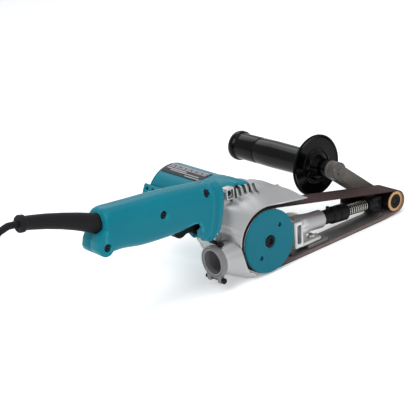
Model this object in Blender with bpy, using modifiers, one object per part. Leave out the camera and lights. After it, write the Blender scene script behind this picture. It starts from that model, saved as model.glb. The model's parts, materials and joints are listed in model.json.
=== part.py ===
"""Handheld belt sander with a narrow 30 x 533 mm abrasive belt, modelled as separate parts.

Lengths are written in millimetres and directions are: +X forward along the sanding arm,
+Y towards the motor side, +Z up.  Places are measured from the drive pulley's centre; the
world origin is on the underside of the belt's flat run.
"""

import math

import bmesh
import bpy
from mathutils import Matrix, Vector

MM = 0.001
GAP = 0.3

# Driving dimensions
BELT_LENGTH = 533.0
BELT_WIDTH = 30.0
BELT_THICKNESS = 1.0
DRIVE_RADIUS = 33.0
IDLER_RADIUS = 11.8
ARM_TILT = math.radians(5.6)
PLATEN_BACKSET = 22.0
ORIGIN_X = 85.0
FLOOR_Z = -(DRIVE_RADIUS + BELT_THICKNESS)

GEAR_TEETH = 44
PINION_TEETH = 9
GEAR_MODULE = 1.25
GEAR_CENTRES = GEAR_MODULE * (GEAR_TEETH + PINION_TEETH) / 2
MOTOR_ANGLE = math.radians(121.9)
MOTOR_X = GEAR_CENTRES * math.cos(MOTOR_ANGLE)
MOTOR_Z = GEAR_CENTRES * math.sin(MOTOR_ANGLE)

HOUSING_FRONT_Y = 17.0
HOUSING_SEAM_Y = 36.5
HOUSING_BACK_Y = 41.0
BARREL_RADIUS = 34.0
BARREL_WALL = 2.8
BARREL_END_Y = 110.6
MOTOR_END_Y = 114.0
BRUSH_Y = 94.5
SKIRT_RADIUS = 36.6
SKIRT_WALL = 2.2
INTAKE_RADIUS = 40.5
SKIRT_NEAR_Y = 2.0
SKIRT_FROM = math.radians(76.0)
SKIRT_TO = math.radians(175.0)
NAMEPLATE_FROM = math.radians(85.0)
NAMEPLATE_TO = math.radians(114.5)

HANDLE_WALL = 2.8
JOINT_X = -59.3
JOINT_Z = 42.0
JOINT_LEAN = 0.27

NOZZLE_Y = -4.3
NOZZLE_Z = -3.5
NOZZLE_OUTER = 14.3
NOZZLE_WALL = 1.9
NOZZLE_MOUTH_X = -65.4
CLAMP_OUTER = 16.6
CLAMP_X = (-66.0, -59.4)
CLAMP_EARS = ((-10.2, -4.6), (5.6, 11.0))

GRIP_X = 132.8
GRIP_Z = 28.7
GRIP_PLATE_Y = 20.2
GRIP_PLATE_THICKNESS = 4.0
GUARD_Y = 46.0
GRIP_END_Y = 176.0

CORD_DIAMETER = 6.6
COIL_TURN_RADIUS = 36.3
COIL_CENTRE = (-362.0, 42.5)
COIL_WIDTH = 3
COIL_LAYERS = 3
PLUG_START = (-374.0, 106.0, FLOOR_Z + 13.2)

# Rotations that point a part's own +Z along the row's axes
ALONG_Y = (-math.pi / 2, 0.0, 0.0)
ALONG_X = (0.0, math.pi / 2, 0.0)
# Rotation that stands a flat outline, drawn in (x, z), up in the XZ plane
UPRIGHT = (math.pi / 2, 0.0, 0.0)


# ---------------------------------------------------------------- scene and materials


def clear_scene():
    for old in list(bpy.data.objects):
        bpy.data.objects.remove(old, do_unlink=True)


def new_collection(name):
    collection = bpy.data.collections.new(name)
    bpy.context.scene.collection.children.link(collection)
    return collection


def new_material(name, colour, roughness, metallic=0.0):
    material = bpy.data.materials.new(name)
    material.use_nodes = True
    shader = material.node_tree.nodes["Principled BSDF"]
    shader.inputs["Base Color"].default_value = (*colour, 1.0)
    shader.inputs["Roughness"].default_value = roughness
    shader.inputs["Metallic"].default_value = metallic
    return material


clear_scene()
PARTS = new_collection("handheld_belt_sander")
CUTTERS = new_collection("cutters")
CUTTERS.hide_render = True

FINISHES = {
    "teal": ((0.02, 0.22, 0.28), 0.4, 0.0),
    "cast_aluminium": ((0.62, 0.63, 0.64), 0.45, 0.9),
    "black_plastic": ((0.015, 0.015, 0.018), 0.35, 0.0),
    "black_rubber": ((0.03, 0.03, 0.032), 0.7, 0.0),
    "black_steel": ((0.03, 0.03, 0.03), 0.4, 0.8),
    "bright_steel": ((0.6, 0.6, 0.58), 0.25, 1.0),
    "plate_steel": ((0.22, 0.2, 0.18), 0.45, 0.8),
    "abrasive": ((0.08, 0.035, 0.035), 0.9, 0.0),
    "brass": ((0.75, 0.5, 0.28), 0.35, 0.9),
    "copper": ((0.6, 0.25, 0.12), 0.35, 0.9),
    "iron": ((0.2, 0.2, 0.21), 0.5, 0.8),
    "carbon": ((0.03, 0.03, 0.03), 0.8, 0.0),
    "label": ((0.12, 0.12, 0.13), 0.4, 0.0),
}
MATERIALS = {name: new_material(name, *finish) for name, finish in FINISHES.items()}


# ---------------------------------------------------------------- placing


def new_empty(name, place, rotation=(0.0, 0.0, 0.0), parent=None):
    empty = bpy.data.objects.new(name, None)
    PARTS.objects.link(empty)
    empty.location = Vector(place) * MM
    empty.rotation_euler = rotation
    empty.parent = parent
    return empty


def add_part(name, data, finish, place=(0, 0, 0), rotation=(0, 0, 0), parent=None):
    """Link a mesh or curve as a named part under its parent empty."""
    part = bpy.data.objects.new(name, data)
    PARTS.objects.link(part)
    part.location = Vector(place) * MM
    part.rotation_euler = rotation
    part.parent = parent or DATUM
    data.materials.append(MATERIALS[finish])
    return part


def as_cutter(tool):
    """Move a shape out of the parts and hide it, for use by a Boolean."""
    for collection in list(tool.users_collection):
        collection.objects.unlink(tool)
    CUTTERS.objects.link(tool)
    tool.hide_render = True
    tool.display_type = "WIRE"
    return tool


def boolean(part, tool, operation="DIFFERENCE"):
    modifier = part.modifiers.new(operation.lower(), "BOOLEAN")
    modifier.operation = operation
    modifier.object = as_cutter(tool)
    modifier.solver = "EXACT"
    return part


def smooth(mesh, angle=35):
    mesh.shade_smooth()
    mesh.set_sharp_from_angle(angle=math.radians(angle))


def add_bevel(part, width, segments=2, angle=40):
    modifier = part.modifiers.new("bevel", "BEVEL")
    modifier.width = width * MM
    modifier.segments = segments
    modifier.limit_method = "ANGLE"
    modifier.angle_limit = math.radians(angle)
    return part


# ---------------------------------------------------------------- basic shapes


def mesh_of(build):
    """A mesh made by a function that fills a bmesh, in millimetres."""
    working = bmesh.new()
    build(working)
    bmesh.ops.scale(working, vec=(MM, MM, MM), verts=working.verts)
    bmesh.ops.recalc_face_normals(working, faces=working.faces)
    mesh = bpy.data.meshes.new("mesh")
    working.to_mesh(mesh)
    working.free()
    return mesh


def box(name, low, high, finish, parent=None, bevel=0.0):
    """A box between two corners, with its origin at its middle."""
    size = Vector(high) - Vector(low)
    middle = (Vector(high) + Vector(low)) / 2

    def build(working):
        bmesh.ops.create_cube(working, size=1.0)
        bmesh.ops.scale(working, vec=size, verts=working.verts)

    part = add_part(name, mesh_of(build), finish, middle, parent=parent)
    if bevel:
        add_bevel(part, bevel)
    return part


def rod(name, radius, length, finish, place, rotation=ALONG_Y, parent=None, sides=24, bevel=0.0):
    """A cylinder that starts at place and runs along its own +Z."""

    def build(working):
        bmesh.ops.create_cone(
            working, cap_ends=True, segments=sides, radius1=radius, radius2=radius, depth=length
        )
        bmesh.ops.translate(working, vec=(0, 0, length / 2), verts=working.verts)

    part = add_part(name, mesh_of(build), finish, place, rotation, parent)
    smooth(part.data)
    if bevel:
        add_bevel(part, bevel)
    return part


def turned(name, profile, finish, place=(0, 0, 0), rotation=ALONG_Y, parent=None, steps=32, ring=False):
    """A turned part: (radius, height) points, listed down the outer side."""
    mesh = bpy.data.meshes.new(name)
    points = [(radius * MM, 0.0, height * MM) for radius, height in profile]
    edges = [(i, i + 1) for i in range(len(points) - 1)]
    if ring:
        edges.append((len(points) - 1, 0))
    mesh.from_pydata(points, edges, [])
    part = add_part(name, mesh, finish, place, rotation, parent)
    screw = part.modifiers.new("turn", "SCREW")
    screw.axis = "Z"
    screw.steps = steps
    screw.render_steps = steps
    screw.use_merge_vertices = True
    screw.merge_threshold = 0.00001
    screw.use_smooth_shade = True
    return part


def tube(name, outer, inner, length, finish, place, rotation=ALONG_Y, parent=None, steps=32):
    profile = [(outer, length), (outer, 0.0), (inner, 0.0), (inner, length)]
    return turned(name, profile, finish, place, rotation, parent, steps, ring=True)


def outline_part(name, loops, thickness, finish, place=(0, 0, 0), rotation=UPRIGHT, parent=None):
    """A flat part of even thickness from closed (u, v) loops, centred on its own plane."""
    curve = bpy.data.curves.new(name, "CURVE")
    curve.dimensions = "2D"
    curve.fill_mode = "BOTH"
    curve.extrude = thickness / 2 * MM
    for loop in loops:
        spline = curve.splines.new("POLY")
        spline.points.add(len(loop) - 1)
        for point, (u, v) in zip(spline.points, loop):
            point.co = (u * MM, v * MM, 0.0, 1.0)
        spline.use_cyclic_u = True
    part = add_part(name, curve, finish, place, rotation, parent)
    return curve_to_mesh(part)


def curve_to_mesh(part):
    """Replace a curve by its mesh, with the loose caps welded on."""
    bpy.context.view_layer.update()
    graph = bpy.context.evaluated_depsgraph_get()
    mesh = bpy.data.meshes.new_from_object(part.evaluated_get(graph))
    working = bmesh.new()
    working.from_mesh(mesh)
    bmesh.ops.remove_doubles(working, verts=working.verts, dist=0.00001)
    bmesh.ops.recalc_face_normals(working, faces=working.faces)
    working.to_mesh(mesh)
    working.free()
    name, parent, placed = part.name, part.parent, part.matrix_world.copy()
    curve = part.data
    bpy.data.objects.remove(part)
    bpy.data.curves.remove(curve)
    solid = bpy.data.objects.new(name, mesh)
    PARTS.objects.link(solid)
    solid.parent = parent
    solid.matrix_world = placed
    return solid


def wire(name, points, radius, finish, parent=None, resolution=2):
    """A round wire or cord along a list of points."""
    curve = bpy.data.curves.new(name, "CURVE")
    curve.dimensions = "3D"
    curve.bevel_depth = radius * MM
    curve.bevel_resolution = resolution
    curve.use_fill_caps = True
    spline = curve.splines.new("POLY")
    spline.points.add(len(points) - 1)
    for point, place in zip(spline.points, points):
        point.co = (place[0] * MM, place[1] * MM, place[2] * MM, 1.0)
    return add_part(name, curve, finish, parent=parent)


def loft(name, rings, finish, parent=None):
    """A closed body through rings of equally many points, capped at both ends."""

    def build(working):
        rows = [[working.verts.new(point) for point in ring] for ring in rings]
        count = len(rows[0])
        for near, far in zip(rows, rows[1:]):
            for i in range(count):
                j = (i + 1) % count
                working.faces.new((near[i], near[j], far[j], far[i]))
        working.faces.new(rows[0])
        working.faces.new(rows[-1])

    part = add_part(name, mesh_of(build), finish, parent=parent)
    smooth(part.data)
    return part


def arc(centre, radius, start, end, steps):
    """Points on an arc, from the start angle to the end angle, in radians."""
    points = []
    for i in range(steps + 1):
        angle = start + (end - start) * i / steps
        points.append((centre[0] + radius * math.cos(angle), centre[1] + radius * math.sin(angle)))
    return points


def circle(centre, radius, steps):
    return arc(centre, radius, 0.0, math.tau * (steps - 1) / steps, steps - 1)


# ---------------------------------------------------------------- belt geometry


def idler_place(centres):
    return (centres * math.cos(ARM_TILT), -centres * math.sin(ARM_TILT))


def belt_angles(centres, drive_radius, idler_radius):
    """Where the belt leaves the wheels: the top run's normal and the front run's normal."""
    idler_x, idler_z = idler_place(centres)
    top = math.acos((drive_radius - idler_radius) / centres) - ARM_TILT
    knee_x = idler_x - PLATEN_BACKSET
    rise = idler_z + drive_radius
    reach = math.hypot(PLATEN_BACKSET, rise)
    front = math.atan2(rise, PLATEN_BACKSET) - math.asin(idler_radius / reach) - math.pi / 2
    return top, front, knee_x


def belt_run_length(centres):
    """Length of the belt's mid-thickness line for a distance between the wheels."""
    drive = DRIVE_RADIUS + BELT_THICKNESS / 2
    idler = IDLER_RADIUS + BELT_THICKNESS / 2
    top, front, knee_x = belt_angles(centres, drive, idler)
    idler_z = idler_place(centres)[1]
    reach = math.hypot(PLATEN_BACKSET, idler_z + drive)
    top_run = math.sqrt(centres**2 - (drive - idler) ** 2)
    front_run = math.sqrt(reach**2 - idler**2)
    return top_run + idler * (top - front) + front_run + knee_x + drive * (1.5 * math.pi - top)


def solve_centres():
    """Distance between the wheels that takes up exactly the belt's length."""
    low, high = 150.0, 240.0
    while high - low > 0.001:
        middle = (low + high) / 2
        if belt_run_length(middle) > BELT_LENGTH:
            high = middle
        else:
            low = middle
    return (low + high) / 2


CENTRES = solve_centres()
IDLER_X, IDLER_Z = idler_place(CENTRES)


def belt_loop(offset):
    """The belt's outline in (x, z) at a distance outside the wheels' surfaces."""
    drive, idler = DRIVE_RADIUS + offset, IDLER_RADIUS + offset
    top, front, knee_x = belt_angles(CENTRES, drive, idler)
    points = arc((0.0, 0.0), drive, top, 1.5 * math.pi, 36)
    points.append((knee_x, -drive))
    points += arc((IDLER_X, IDLER_Z), idler, front, top, 14)
    return points


def top_run_height(x, offset):
    """Height of the belt's top run above the drive axis, at a distance outside the wheels."""
    top = belt_angles(CENTRES, DRIVE_RADIUS, IDLER_RADIUS)[0]
    return (DRIVE_RADIUS + offset - x * math.cos(top)) / math.sin(top)


# ---------------------------------------------------------------- frames that parts hang on

DATUM = new_empty("datum", (-ORIGIN_X, 0.0, -FLOOR_Z))
SPINDLE = new_empty("spindle_axis", (0, 0, 0), parent=DATUM)
MOTOR = new_empty("motor_axis", (MOTOR_X, 0, MOTOR_Z), parent=DATUM)
ARM = new_empty("arm_axis", (0, 0, 0), (0.0, ARM_TILT, 0.0), DATUM)
IDLER = new_empty("idler_axis", (IDLER_X, 0, IDLER_Z), parent=DATUM)


# ---------------------------------------------------------------- belt, pulleys and gears


def make_belt():
    loops = [belt_loop(BELT_THICKNESS), belt_loop(0.0)]
    outline_part("abrasive_belt", loops, BELT_WIDTH, "abrasive")


def make_drive_pulley():
    rim = DRIVE_RADIUS - GAP
    hub, bore = 12.0, 6.3
    profile = [
        (rim - 0.6, 15.4), (rim, 14.4), (rim, -14.4), (rim - 0.6, -15.4), (bore, -15.4),
        (bore, 15.4), (hub, 15.4), (hub, -8.0), (rim - 4.0, -8.0), (rim - 4.0, 15.4),
    ]  # fmt: skip
    turned("drive_pulley", profile, "cast_aluminium", parent=SPINDLE, steps=48, ring=True)
    face_radius, recess, pin_radius, pin_hole = 33.2, 6.5, 19.6, 2.5
    profile = [
        (face_radius, -15.7), (face_radius, -17.4), (face_radius - 0.5, -18.5),
        (face_radius - 1.8, -19.0), (recess, -19.0), (recess, -15.7),
    ]  # fmt: skip
    cap = turned("pulley_face", profile, "teal", parent=SPINDLE, steps=48, ring=True)
    for turn in (45.0, 225.0):
        angle = math.radians(turn)
        place = (pin_radius * math.cos(angle), -22.0, pin_radius * math.sin(angle))
        tool = rod("pin_hole_cutter", pin_hole, 10.0, "teal", place, parent=SPINDLE, sides=16)
        boolean(cap, tool)
    profile = [(0.0, -15.0), (6.0, -15.0), (6.0, -18.2), (3.2, -18.2), (3.2, -16.6), (0.0, -16.6)]
    turned("pulley_screw", profile, "black_steel", parent=SPINDLE, steps=20)


def gear_outline(teeth, phase):
    """Straight-sided teeth round a pitch circle; phase is the angle of one tooth's middle."""
    pitch = GEAR_MODULE * teeth / 2
    step = math.tau / teeth
    outline = []
    for i in range(teeth):
        middle = phase + i * step
        tip, root = pitch + 0.85 * GEAR_MODULE, pitch - 1.2 * GEAR_MODULE
        for radius, share in ((root, -0.33), (tip, -0.12), (tip, 0.12), (root, 0.33)):
            angle = middle + share * step
            outline.append((radius * math.cos(angle), radius * math.sin(angle)))
    return outline


def make_gears():
    loops = [gear_outline(GEAR_TEETH, MOTOR_ANGLE), circle((0, 0), 6.3, 20)]
    outline_part("drive_gear", loops, 8.0, "iron", (0, 29.0, 0), parent=SPINDLE)
    gap_at_gear = MOTOR_ANGLE + math.pi + math.pi / PINION_TEETH
    loops = [gear_outline(PINION_TEETH, gap_at_gear), circle((0, 0), 3.3, 12)]
    outline_part("motor_pinion", loops, 10.0, "iron", (0, 29.0, 0), parent=MOTOR)
    profile = [(0, 41.0), (5.6, 41.0), (6.0, 40.6), (6.0, -14.7), (0, -14.7)]
    turned("drive_spindle", profile, "bright_steel", parent=SPINDLE, steps=20)
    tube("spindle_bearing_front", 11.0, 6.3, 6.0, "iron", (0, 17.6, 0), parent=SPINDLE, steps=28)
    tube("spindle_bearing_rear", 9.5, 6.3, 4.0, "iron", (0, 37.0, 0), parent=SPINDLE, steps=28)


# ---------------------------------------------------------------- housing castings

# The casting's outline behind the belt, as (angle in degrees, radius) round the drive axis.
BACK_OUTLINE = [
    (-72, 33.0), (-41, 39.7), (-16, 43.7), (15, 45.6), (39, 51.2), (68, 57.6), (84, 57.4),
    (100, 58.5), (115, 63.0), (131, 74.0), (145, 70.0), (155, 60.0), (163, 54.4), (173, 48.5),
    (183, 44.0), (200, 40.5), (219, 38.0), (244, 34.4), (262, 32.2), (275, 32.0),
]  # fmt: skip
LIP_ANGLE = math.radians(233.7)
COVER_STEPS = 34


def back_radius(angle):
    """Radius of the casting behind the belt, smoothly between the outline's points."""
    degrees = math.degrees(angle) % 360.0
    points = sorted(((a % 360.0, r) for a, r in BACK_OUTLINE))
    points = [(points[-1][0] - 360.0, points[-1][1])] + points + [(points[0][0] + 360.0, points[0][1])]
    for (a0, r0), (a1, r1) in zip(points, points[1:]):
        if a0 <= degrees <= a1:
            t = (degrees - a0) / (a1 - a0)
            t = t * t * (3 - 2 * t)
            return r0 + (r1 - r0) * t
    return points[0][1]


def case_radius(angle):
    """Radius of the gear case, which stands a little lower than the belt cover on top."""
    degrees = math.degrees(angle) % 360.0
    rise = min(1.0, max(0.0, (degrees - 35.0) / 15.0))
    fall = min(1.0, max(0.0, (118.0 - degrees) / 18.0))
    return back_radius(angle) - 4.4 * min(rise, fall)


def joint_cutter(shift=0.0):
    """A block that takes away what lies behind the slanting joint with the handle."""
    lean = math.atan(JOINT_LEAN)
    tool = box("joint_cutter", (-60, -60, -100), (0, 80, 100), "teal")
    tool.rotation_euler = (0.0, lean, 0.0)
    middle = Vector((JOINT_X - shift, 10.0, JOINT_Z)) - Vector((30.0, 0.0, 0.0)) / math.cos(lean)
    tool.location = middle * MM
    return tool


def skirt_sector(name, inner, outer, near_y, far_y, grow, finish="teal"):
    """Part of a ring round the motor axis, between the skirt's two end angles."""
    start, end = SKIRT_FROM - grow, SKIRT_TO + grow
    loop = arc((0, 0), outer, start, end, 30) + arc((0, 0), inner, end, start, 30)
    middle = (near_y + far_y) / 2
    return outline_part(name, [loop], far_y - near_y, finish, (0, middle, 0), parent=MOTOR)


def skirt_pocket():
    inner = SKIRT_RADIUS - SKIRT_WALL - GAP
    return skirt_sector("skirt_pocket", inner, 75.0, SKIRT_NEAR_Y - GAP, 50.0, 0.02)


def make_gear_housing():
    """The gear case: an open cup, and the cover plate that closes it towards the motor."""
    outline = []
    for i in range(60):
        angle = math.tau * i / 60
        radius = case_radius(angle)
        outline.append((radius * math.cos(angle), radius * math.sin(angle)))
    depth = HOUSING_SEAM_Y - HOUSING_FRONT_Y
    middle = (HOUSING_SEAM_Y + HOUSING_FRONT_Y) / 2
    housing = outline_part("gear_housing", [outline], depth, "cast_aluminium", (0, middle, 0))
    floor_y = HOUSING_FRONT_Y + 3.0
    boolean(housing, skirt_pocket())
    boolean(housing, joint_cutter())
    boolean(housing, rod("gear_pocket", 30.0, 30.0, "iron", (0, floor_y, 0), sides=40))
    place = (MOTOR_X, floor_y, MOTOR_Z)
    boolean(housing, rod("pinion_pocket", 20.0, 30.0, "iron", place, sides=32))
    boolean(housing, rod("bearing_seat", 11.0 + GAP, 20.0, "iron", (0, 10.0, 0), sides=32))
    near, far = HOUSING_SEAM_Y + GAP, HOUSING_BACK_Y
    plate = outline_part("gear_cover", [outline], far - near, "cast_aluminium", (0, (near + far) / 2, 0))
    boolean(plate, skirt_pocket())
    boolean(plate, joint_cutter())
    boolean(plate, rod("bearing_seat", 9.5 + GAP, 20.0, "iron", (0, 30.0, 0), sides=32))
    boolean(plate, rod("shaft_hole", 9.0, 20.0, "iron", (MOTOR_X, 30.0, MOTOR_Z), sides=24))


# The cover's section: distance across the belt, height above the wheel, and forward reach
COVER_SECTION = [
    (-17.0, 5.0, 57.0), (-13.0, 8.0, 50.5), (-9.0, 10.8, 47.0), (-5.0, 13.0, 44.3),
    (-1.0, 14.8, 40.5), (2.5, 16.0, 38.0), (4.0, 17.0, 37.5), (6.8, 23.6, 36.5), (8.5, 24.6, 36.0),
    (16.6, 25.3, 35.0),
]  # fmt: skip
STEP_Y = 6.0
TIP_RISE = 2.7
VENT_PLACES = [(-26.4, 51.6), (-20.3, 53.6), (-14.1, 54.3), (-7.7, 54.1), (-1.3, 53.1), (4.9, 51.3)]


def front_fall(x):
    """How far the top of the casting has come down at a place in front of the wheel."""
    return 0.22 * max(0.0, min(x, 26.7) - 11.9) + 0.376 * max(0.0, x - 26.7)


def cover_ring(across, height, tip_x):
    """The cover's outer edge at one distance across the belt, from its lower lip to its tip."""
    top = belt_angles(CENTRES, DRIVE_RADIUS, IDLER_RADIUS)[0]
    lowest, highest = COVER_SECTION[0][1], COVER_SECTION[-1][1]
    share = (height - lowest) / (highest - lowest)
    near_radius = DRIVE_RADIUS + lowest
    points = []
    for i in range(COVER_STEPS + 1):
        angle = LIP_ANGLE + (top - LIP_ANGLE) * i / COVER_STEPS
        radius = near_radius + max(0.0, back_radius(angle) - near_radius) * share
        points.append((radius * math.cos(angle), across, radius * math.sin(angle)))
    last_x = points[-1][0]
    last_height = points[-1][2] - top_run_height(last_x, 0.0)
    for i in range(1, 5):
        share = i / 4
        x = last_x + (tip_x - last_x) * share
        rise = TIP_RISE * max(0.0, x - last_x) / (COVER_SECTION[0][2] - last_x)
        if across > STEP_Y:
            rise = -front_fall(x)
        points.append((x, across, top_run_height(x, 0.0) + last_height + rise))
    return points


def make_belt_cover():
    rows = [cover_ring(*section) for section in COVER_SECTION]

    def build(working):
        grid = [[working.verts.new(point) for point in row] for row in rows]
        for near, far in zip(grid, grid[1:]):
            for i in range(len(near) - 1):
                working.faces.new((near[i], near[i + 1], far[i + 1], far[i]))

    mesh = mesh_of(build)
    cover = add_part("belt_cover", mesh, "cast_aluminium")
    smooth(mesh)
    wall = cover.modifiers.new("wall", "SOLIDIFY")
    wall.thickness = 2.2 * MM
    wall.offset = -1.0 if mesh.polygons[0].normal.dot(mesh.polygons[0].center) > 0 else 1.0
    boolean(cover, skirt_pocket())
    boolean(cover, joint_cutter())
    for x, z in VENT_PLACES:
        tool = box("vent_cutter", (x - 1.4, -3.0, z - 4.1), (x + 1.4, 11.0, z + 4.1), "teal")
        boolean(cover, tool)
    boolean(cover, loft("duct_cutter", duct_rings(GAP, 32.0), "cast_aluminium"))
    return cover


# The dust duct from its mouth to the wheel cover: (x, centre height, half width, half height)
DUCT_SECTIONS = [
    (NOZZLE_MOUTH_X, NOZZLE_Z, 14.3, 14.3), (-59.3, NOZZLE_Z, 14.3, 14.3), (-59.0, NOZZLE_Z, 15.2, 15.2),
    (-50.0, -5.2, 15.4, 17.2), (-38.0, -8.2, 15.6, 20.2), (-22.0, -12.2, 15.8, 24.2),
]  # fmt: skip


def duct_rings(grow, lead=0.0):
    rings = []
    for i, (x, middle, wide, tall) in enumerate(DUCT_SECTIONS):
        points = []
        for k in range(32):
            angle = math.tau * k / 32
            across = NOZZLE_Y + (wide + grow) * math.cos(angle)
            points.append((x - (lead if i == 0 else 0.0), across, middle + (tall + grow) * math.sin(angle)))
        rings.append(points)
    return rings


def make_nozzle():
    duct = loft("dust_nozzle", duct_rings(0.0), "cast_aluminium")
    boolean(duct, rod("wheel_room", 37.4, 60.0, "iron", (0, -30.0, 0), sides=64))
    boolean(duct, loft("duct_bore", duct_rings(-NOZZLE_WALL, 10.0), "iron"))
    outer, inner = CLAMP_OUTER, NOZZLE_OUTER + GAP
    ring = tube("nozzle_clamp", outer, inner, CLAMP_X[1] - CLAMP_X[0], "cast_aluminium",
                (CLAMP_X[0], NOZZLE_Y, NOZZLE_Z), ALONG_X, steps=36)  # fmt: skip
    screw_x = (CLAMP_X[0] + CLAMP_X[1]) / 2
    screw_z = NOZZLE_Z - 18.0
    for low, high in CLAMP_EARS:
        ear = box("ear_blank", (CLAMP_X[0] + 0.6, NOZZLE_Y + low, screw_z - 3.2),
                  (CLAMP_X[1] - 0.6, NOZZLE_Y + high, NOZZLE_Z - 11.5), "cast_aluminium")  # fmt: skip
        bore = rod("bore", inner, 20.0, "iron", (CLAMP_X[0] - 5, NOZZLE_Y, NOZZLE_Z), ALONG_X, sides=36)
        boolean(ear, bore)
        boolean(ring, ear, "UNION")
    hole = rod("clamp_hole", 1.5 + GAP, 40.0, "iron", (screw_x, NOZZLE_Y - 20, screw_z), sides=12)
    boolean(ring, hole)
    profile = [
        (0, 13.6), (2.6, 13.6), (2.6, 11.4), (1.5, 11.4), (1.5, -10.5), (3.0, -10.5), (3.0, -13.4),
        (0, -13.4),
    ]  # fmt: skip
    turned("clamp_screw", profile, "black_steel", (screw_x, NOZZLE_Y, screw_z), steps=14)


# ---------------------------------------------------------------- motor


def make_motor_housing():
    radius, inner = BARREL_RADIUS, BARREL_RADIUS - BARREL_WALL
    front = HOUSING_BACK_Y + GAP
    plate = 6.0
    profile = [
        (radius, BARREL_END_Y), (radius, front + 4), (SKIRT_RADIUS, front + 1.0),
        (SKIRT_RADIUS, front), (8.0, front), (8.0, front + plate), (inner, front + plate),
        (inner, BARREL_END_Y),
    ]  # fmt: skip
    barrel = turned("motor_housing", profile, "teal", parent=MOTOR, steps=48, ring=True)
    inner_skirt = SKIRT_RADIUS - SKIRT_WALL
    skirt = skirt_sector("skirt_blank", inner_skirt, SKIRT_RADIUS, SKIRT_NEAR_Y, front + 2.0, 0.0)
    boolean(barrel, skirt, "UNION")
    boolean(barrel, intake_blank(inner + 0.8, 66.0, BARREL_END_Y), "UNION")
    for turn in (153.5, 161.0, 168.5):
        for across in (77.0, 87.0, 97.0, 107.0):
            angle = math.radians(turn)
            vent = rod("motor_vent", 1.9, 16.0, "iron", (0, 0, 0), (0, 0, 0), MOTOR, sides=10)
            direction = Vector((math.cos(angle), 0.0, math.sin(angle)))
            vent.rotation_euler = direction.to_track_quat("Z", "Y").to_euler()
            vent.location = (direction * (radius - 6.0) + Vector((0, across, 0))) * MM
            boolean(barrel, vent)
    for turn in (0.0, 180.0):
        facing = math.cos(math.radians(turn))
        place = ((radius - 12.0) * facing, BRUSH_Y, 0.0)
        tool = rod("brush_hole", 5.5 + GAP, 24.0, "iron", place, (0, math.pi / 2 * facing, 0), MOTOR)
        boolean(barrel, tool)
    return barrel


def intake_blank(inner, near_y, far_y):
    """The raised panel on the rear of the motor, which the cooling air comes in through."""
    start, end = math.radians(145.5), math.radians(205.0)
    loop = arc((0, 0), INTAKE_RADIUS, start, end, 12) + arc((0, 0), inner, end, start, 12)
    middle = (near_y + far_y) / 2
    return outline_part("intake_blank", [loop], far_y - near_y, "teal", (0, middle, 0), parent=MOTOR)


def make_end_cover():
    radius = BARREL_RADIUS
    start, end = BARREL_END_Y + GAP, MOTOR_END_Y
    profile = [
        (0, end), (radius - 4.0, end), (radius - 1.0, end - 0.8), (radius, end - 2.4), (radius, start),
        (10.3, start), (10.3, end - 7.5), (8.3, end - 7.5), (8.3, end - 2.4), (0, end - 2.4),
    ]  # fmt: skip
    cover = turned("motor_end_cover", profile, "teal", parent=MOTOR, steps=48)
    boolean(cover, intake_blank(radius - 5.0, start, end - 0.8), "UNION")
    for i in range(12):
        angle = math.tau * (i + 0.5) / 12
        slot = box("end_vent", (-5.5, -6.0, -1.4), (5.5, 6.0, 1.4), "iron", MOTOR)
        slot.location = Vector((19.5 * math.cos(angle), end, 19.5 * math.sin(angle))) * MM
        slot.rotation_euler = (0.0, -angle, 0.0)
        boolean(cover, slot)


def make_motor_works():
    front, end, shaft, bore = HOUSING_BACK_Y, MOTOR_END_Y - 3.5, 3.0, 3.3
    profile = [(0, end), (shaft - 0.4, end), (shaft, end - 0.4), (shaft, 23.8), (0, 23.8)]
    turned("motor_shaft", profile, "bright_steel", parent=MOTOR, steps=16)
    tube("motor_bearing_front", 7.7, bore, 5.4, "iron", (0, front + 0.6, 0), parent=MOTOR, steps=20)
    tube("motor_bearing_rear", 8.0, bore, 5.0, "iron", (0, MOTOR_END_Y - 8.0, 0), parent=MOTOR, steps=20)
    hub, tip, fan_y = 7.0, 28.0, 50.0
    fan = tube("cooling_fan", hub, bore, 8.0, "black_plastic", (0, fan_y, 0), parent=MOTOR, steps=20)
    for i in range(9):
        blade = box("fan_blade", (hub - 1.0, -3.6, -0.7), (tip, 3.6, 0.7), "black_plastic", MOTOR)
        spin = Matrix.Rotation(math.tau * i / 9, 4, "Y")
        outward = Matrix.Translation(Vector(((hub - 1.0 + tip) / 2, 0, 0)) * MM)
        tilt = Matrix.Rotation(math.radians(20), 4, "X")
        blade.matrix_local = Matrix.Translation(Vector((0, fan_y + 4.0, 0)) * MM) @ spin @ outward @ tilt
        boolean(fan, blade, "UNION")
    tube("armature_core", 17.5, bore, 24.0, "iron", (0, 64.0, 0), parent=MOTOR, steps=24)
    tube("commutator", 10.0, bore, 7.0, "copper", (0, 91.0, 0), parent=MOTOR, steps=24)
    tube("field_stator", 30.5, 18.5, 20.0, "iron", (0, 66.0, 0), parent=MOTOR, steps=32)
    for name, facing in (("front", 1.0), ("rear", -1.0)):
        low, high = sorted((10.4 * facing, 21.0 * facing))
        box(f"carbon_brush_{name}", (low, BRUSH_Y - 3, -3.0), (high, BRUSH_Y + 3, 3.0), "carbon", MOTOR)
        profile = [(0, 1.5), (4.4, 1.5), (5.3, 0.8), (5.5, 0.0), (5.5, -8.5), (0, -8.5)]
        place = (BARREL_RADIUS * facing, BRUSH_Y, 0.0)
        if facing < 0:
            place = (-INTAKE_RADIUS, BRUSH_Y, 0.0)
        rotation = (0.0, math.pi / 2 * facing, 0.0)
        turned(f"brush_cap_{name}", profile, "black_plastic", place, rotation, MOTOR, steps=20)


def make_nameplate():
    radius = BARREL_RADIUS + GAP
    start, end = NAMEPLATE_FROM, NAMEPLATE_TO
    loop = arc((0, 0), radius + 0.5, start, end, 8) + arc((0, 0), radius, end, start, 8)
    outline_part("nameplate", [loop], 54.0, "label", (0, 73.5, 0), parent=MOTOR)


# ---------------------------------------------------------------- handle

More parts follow.
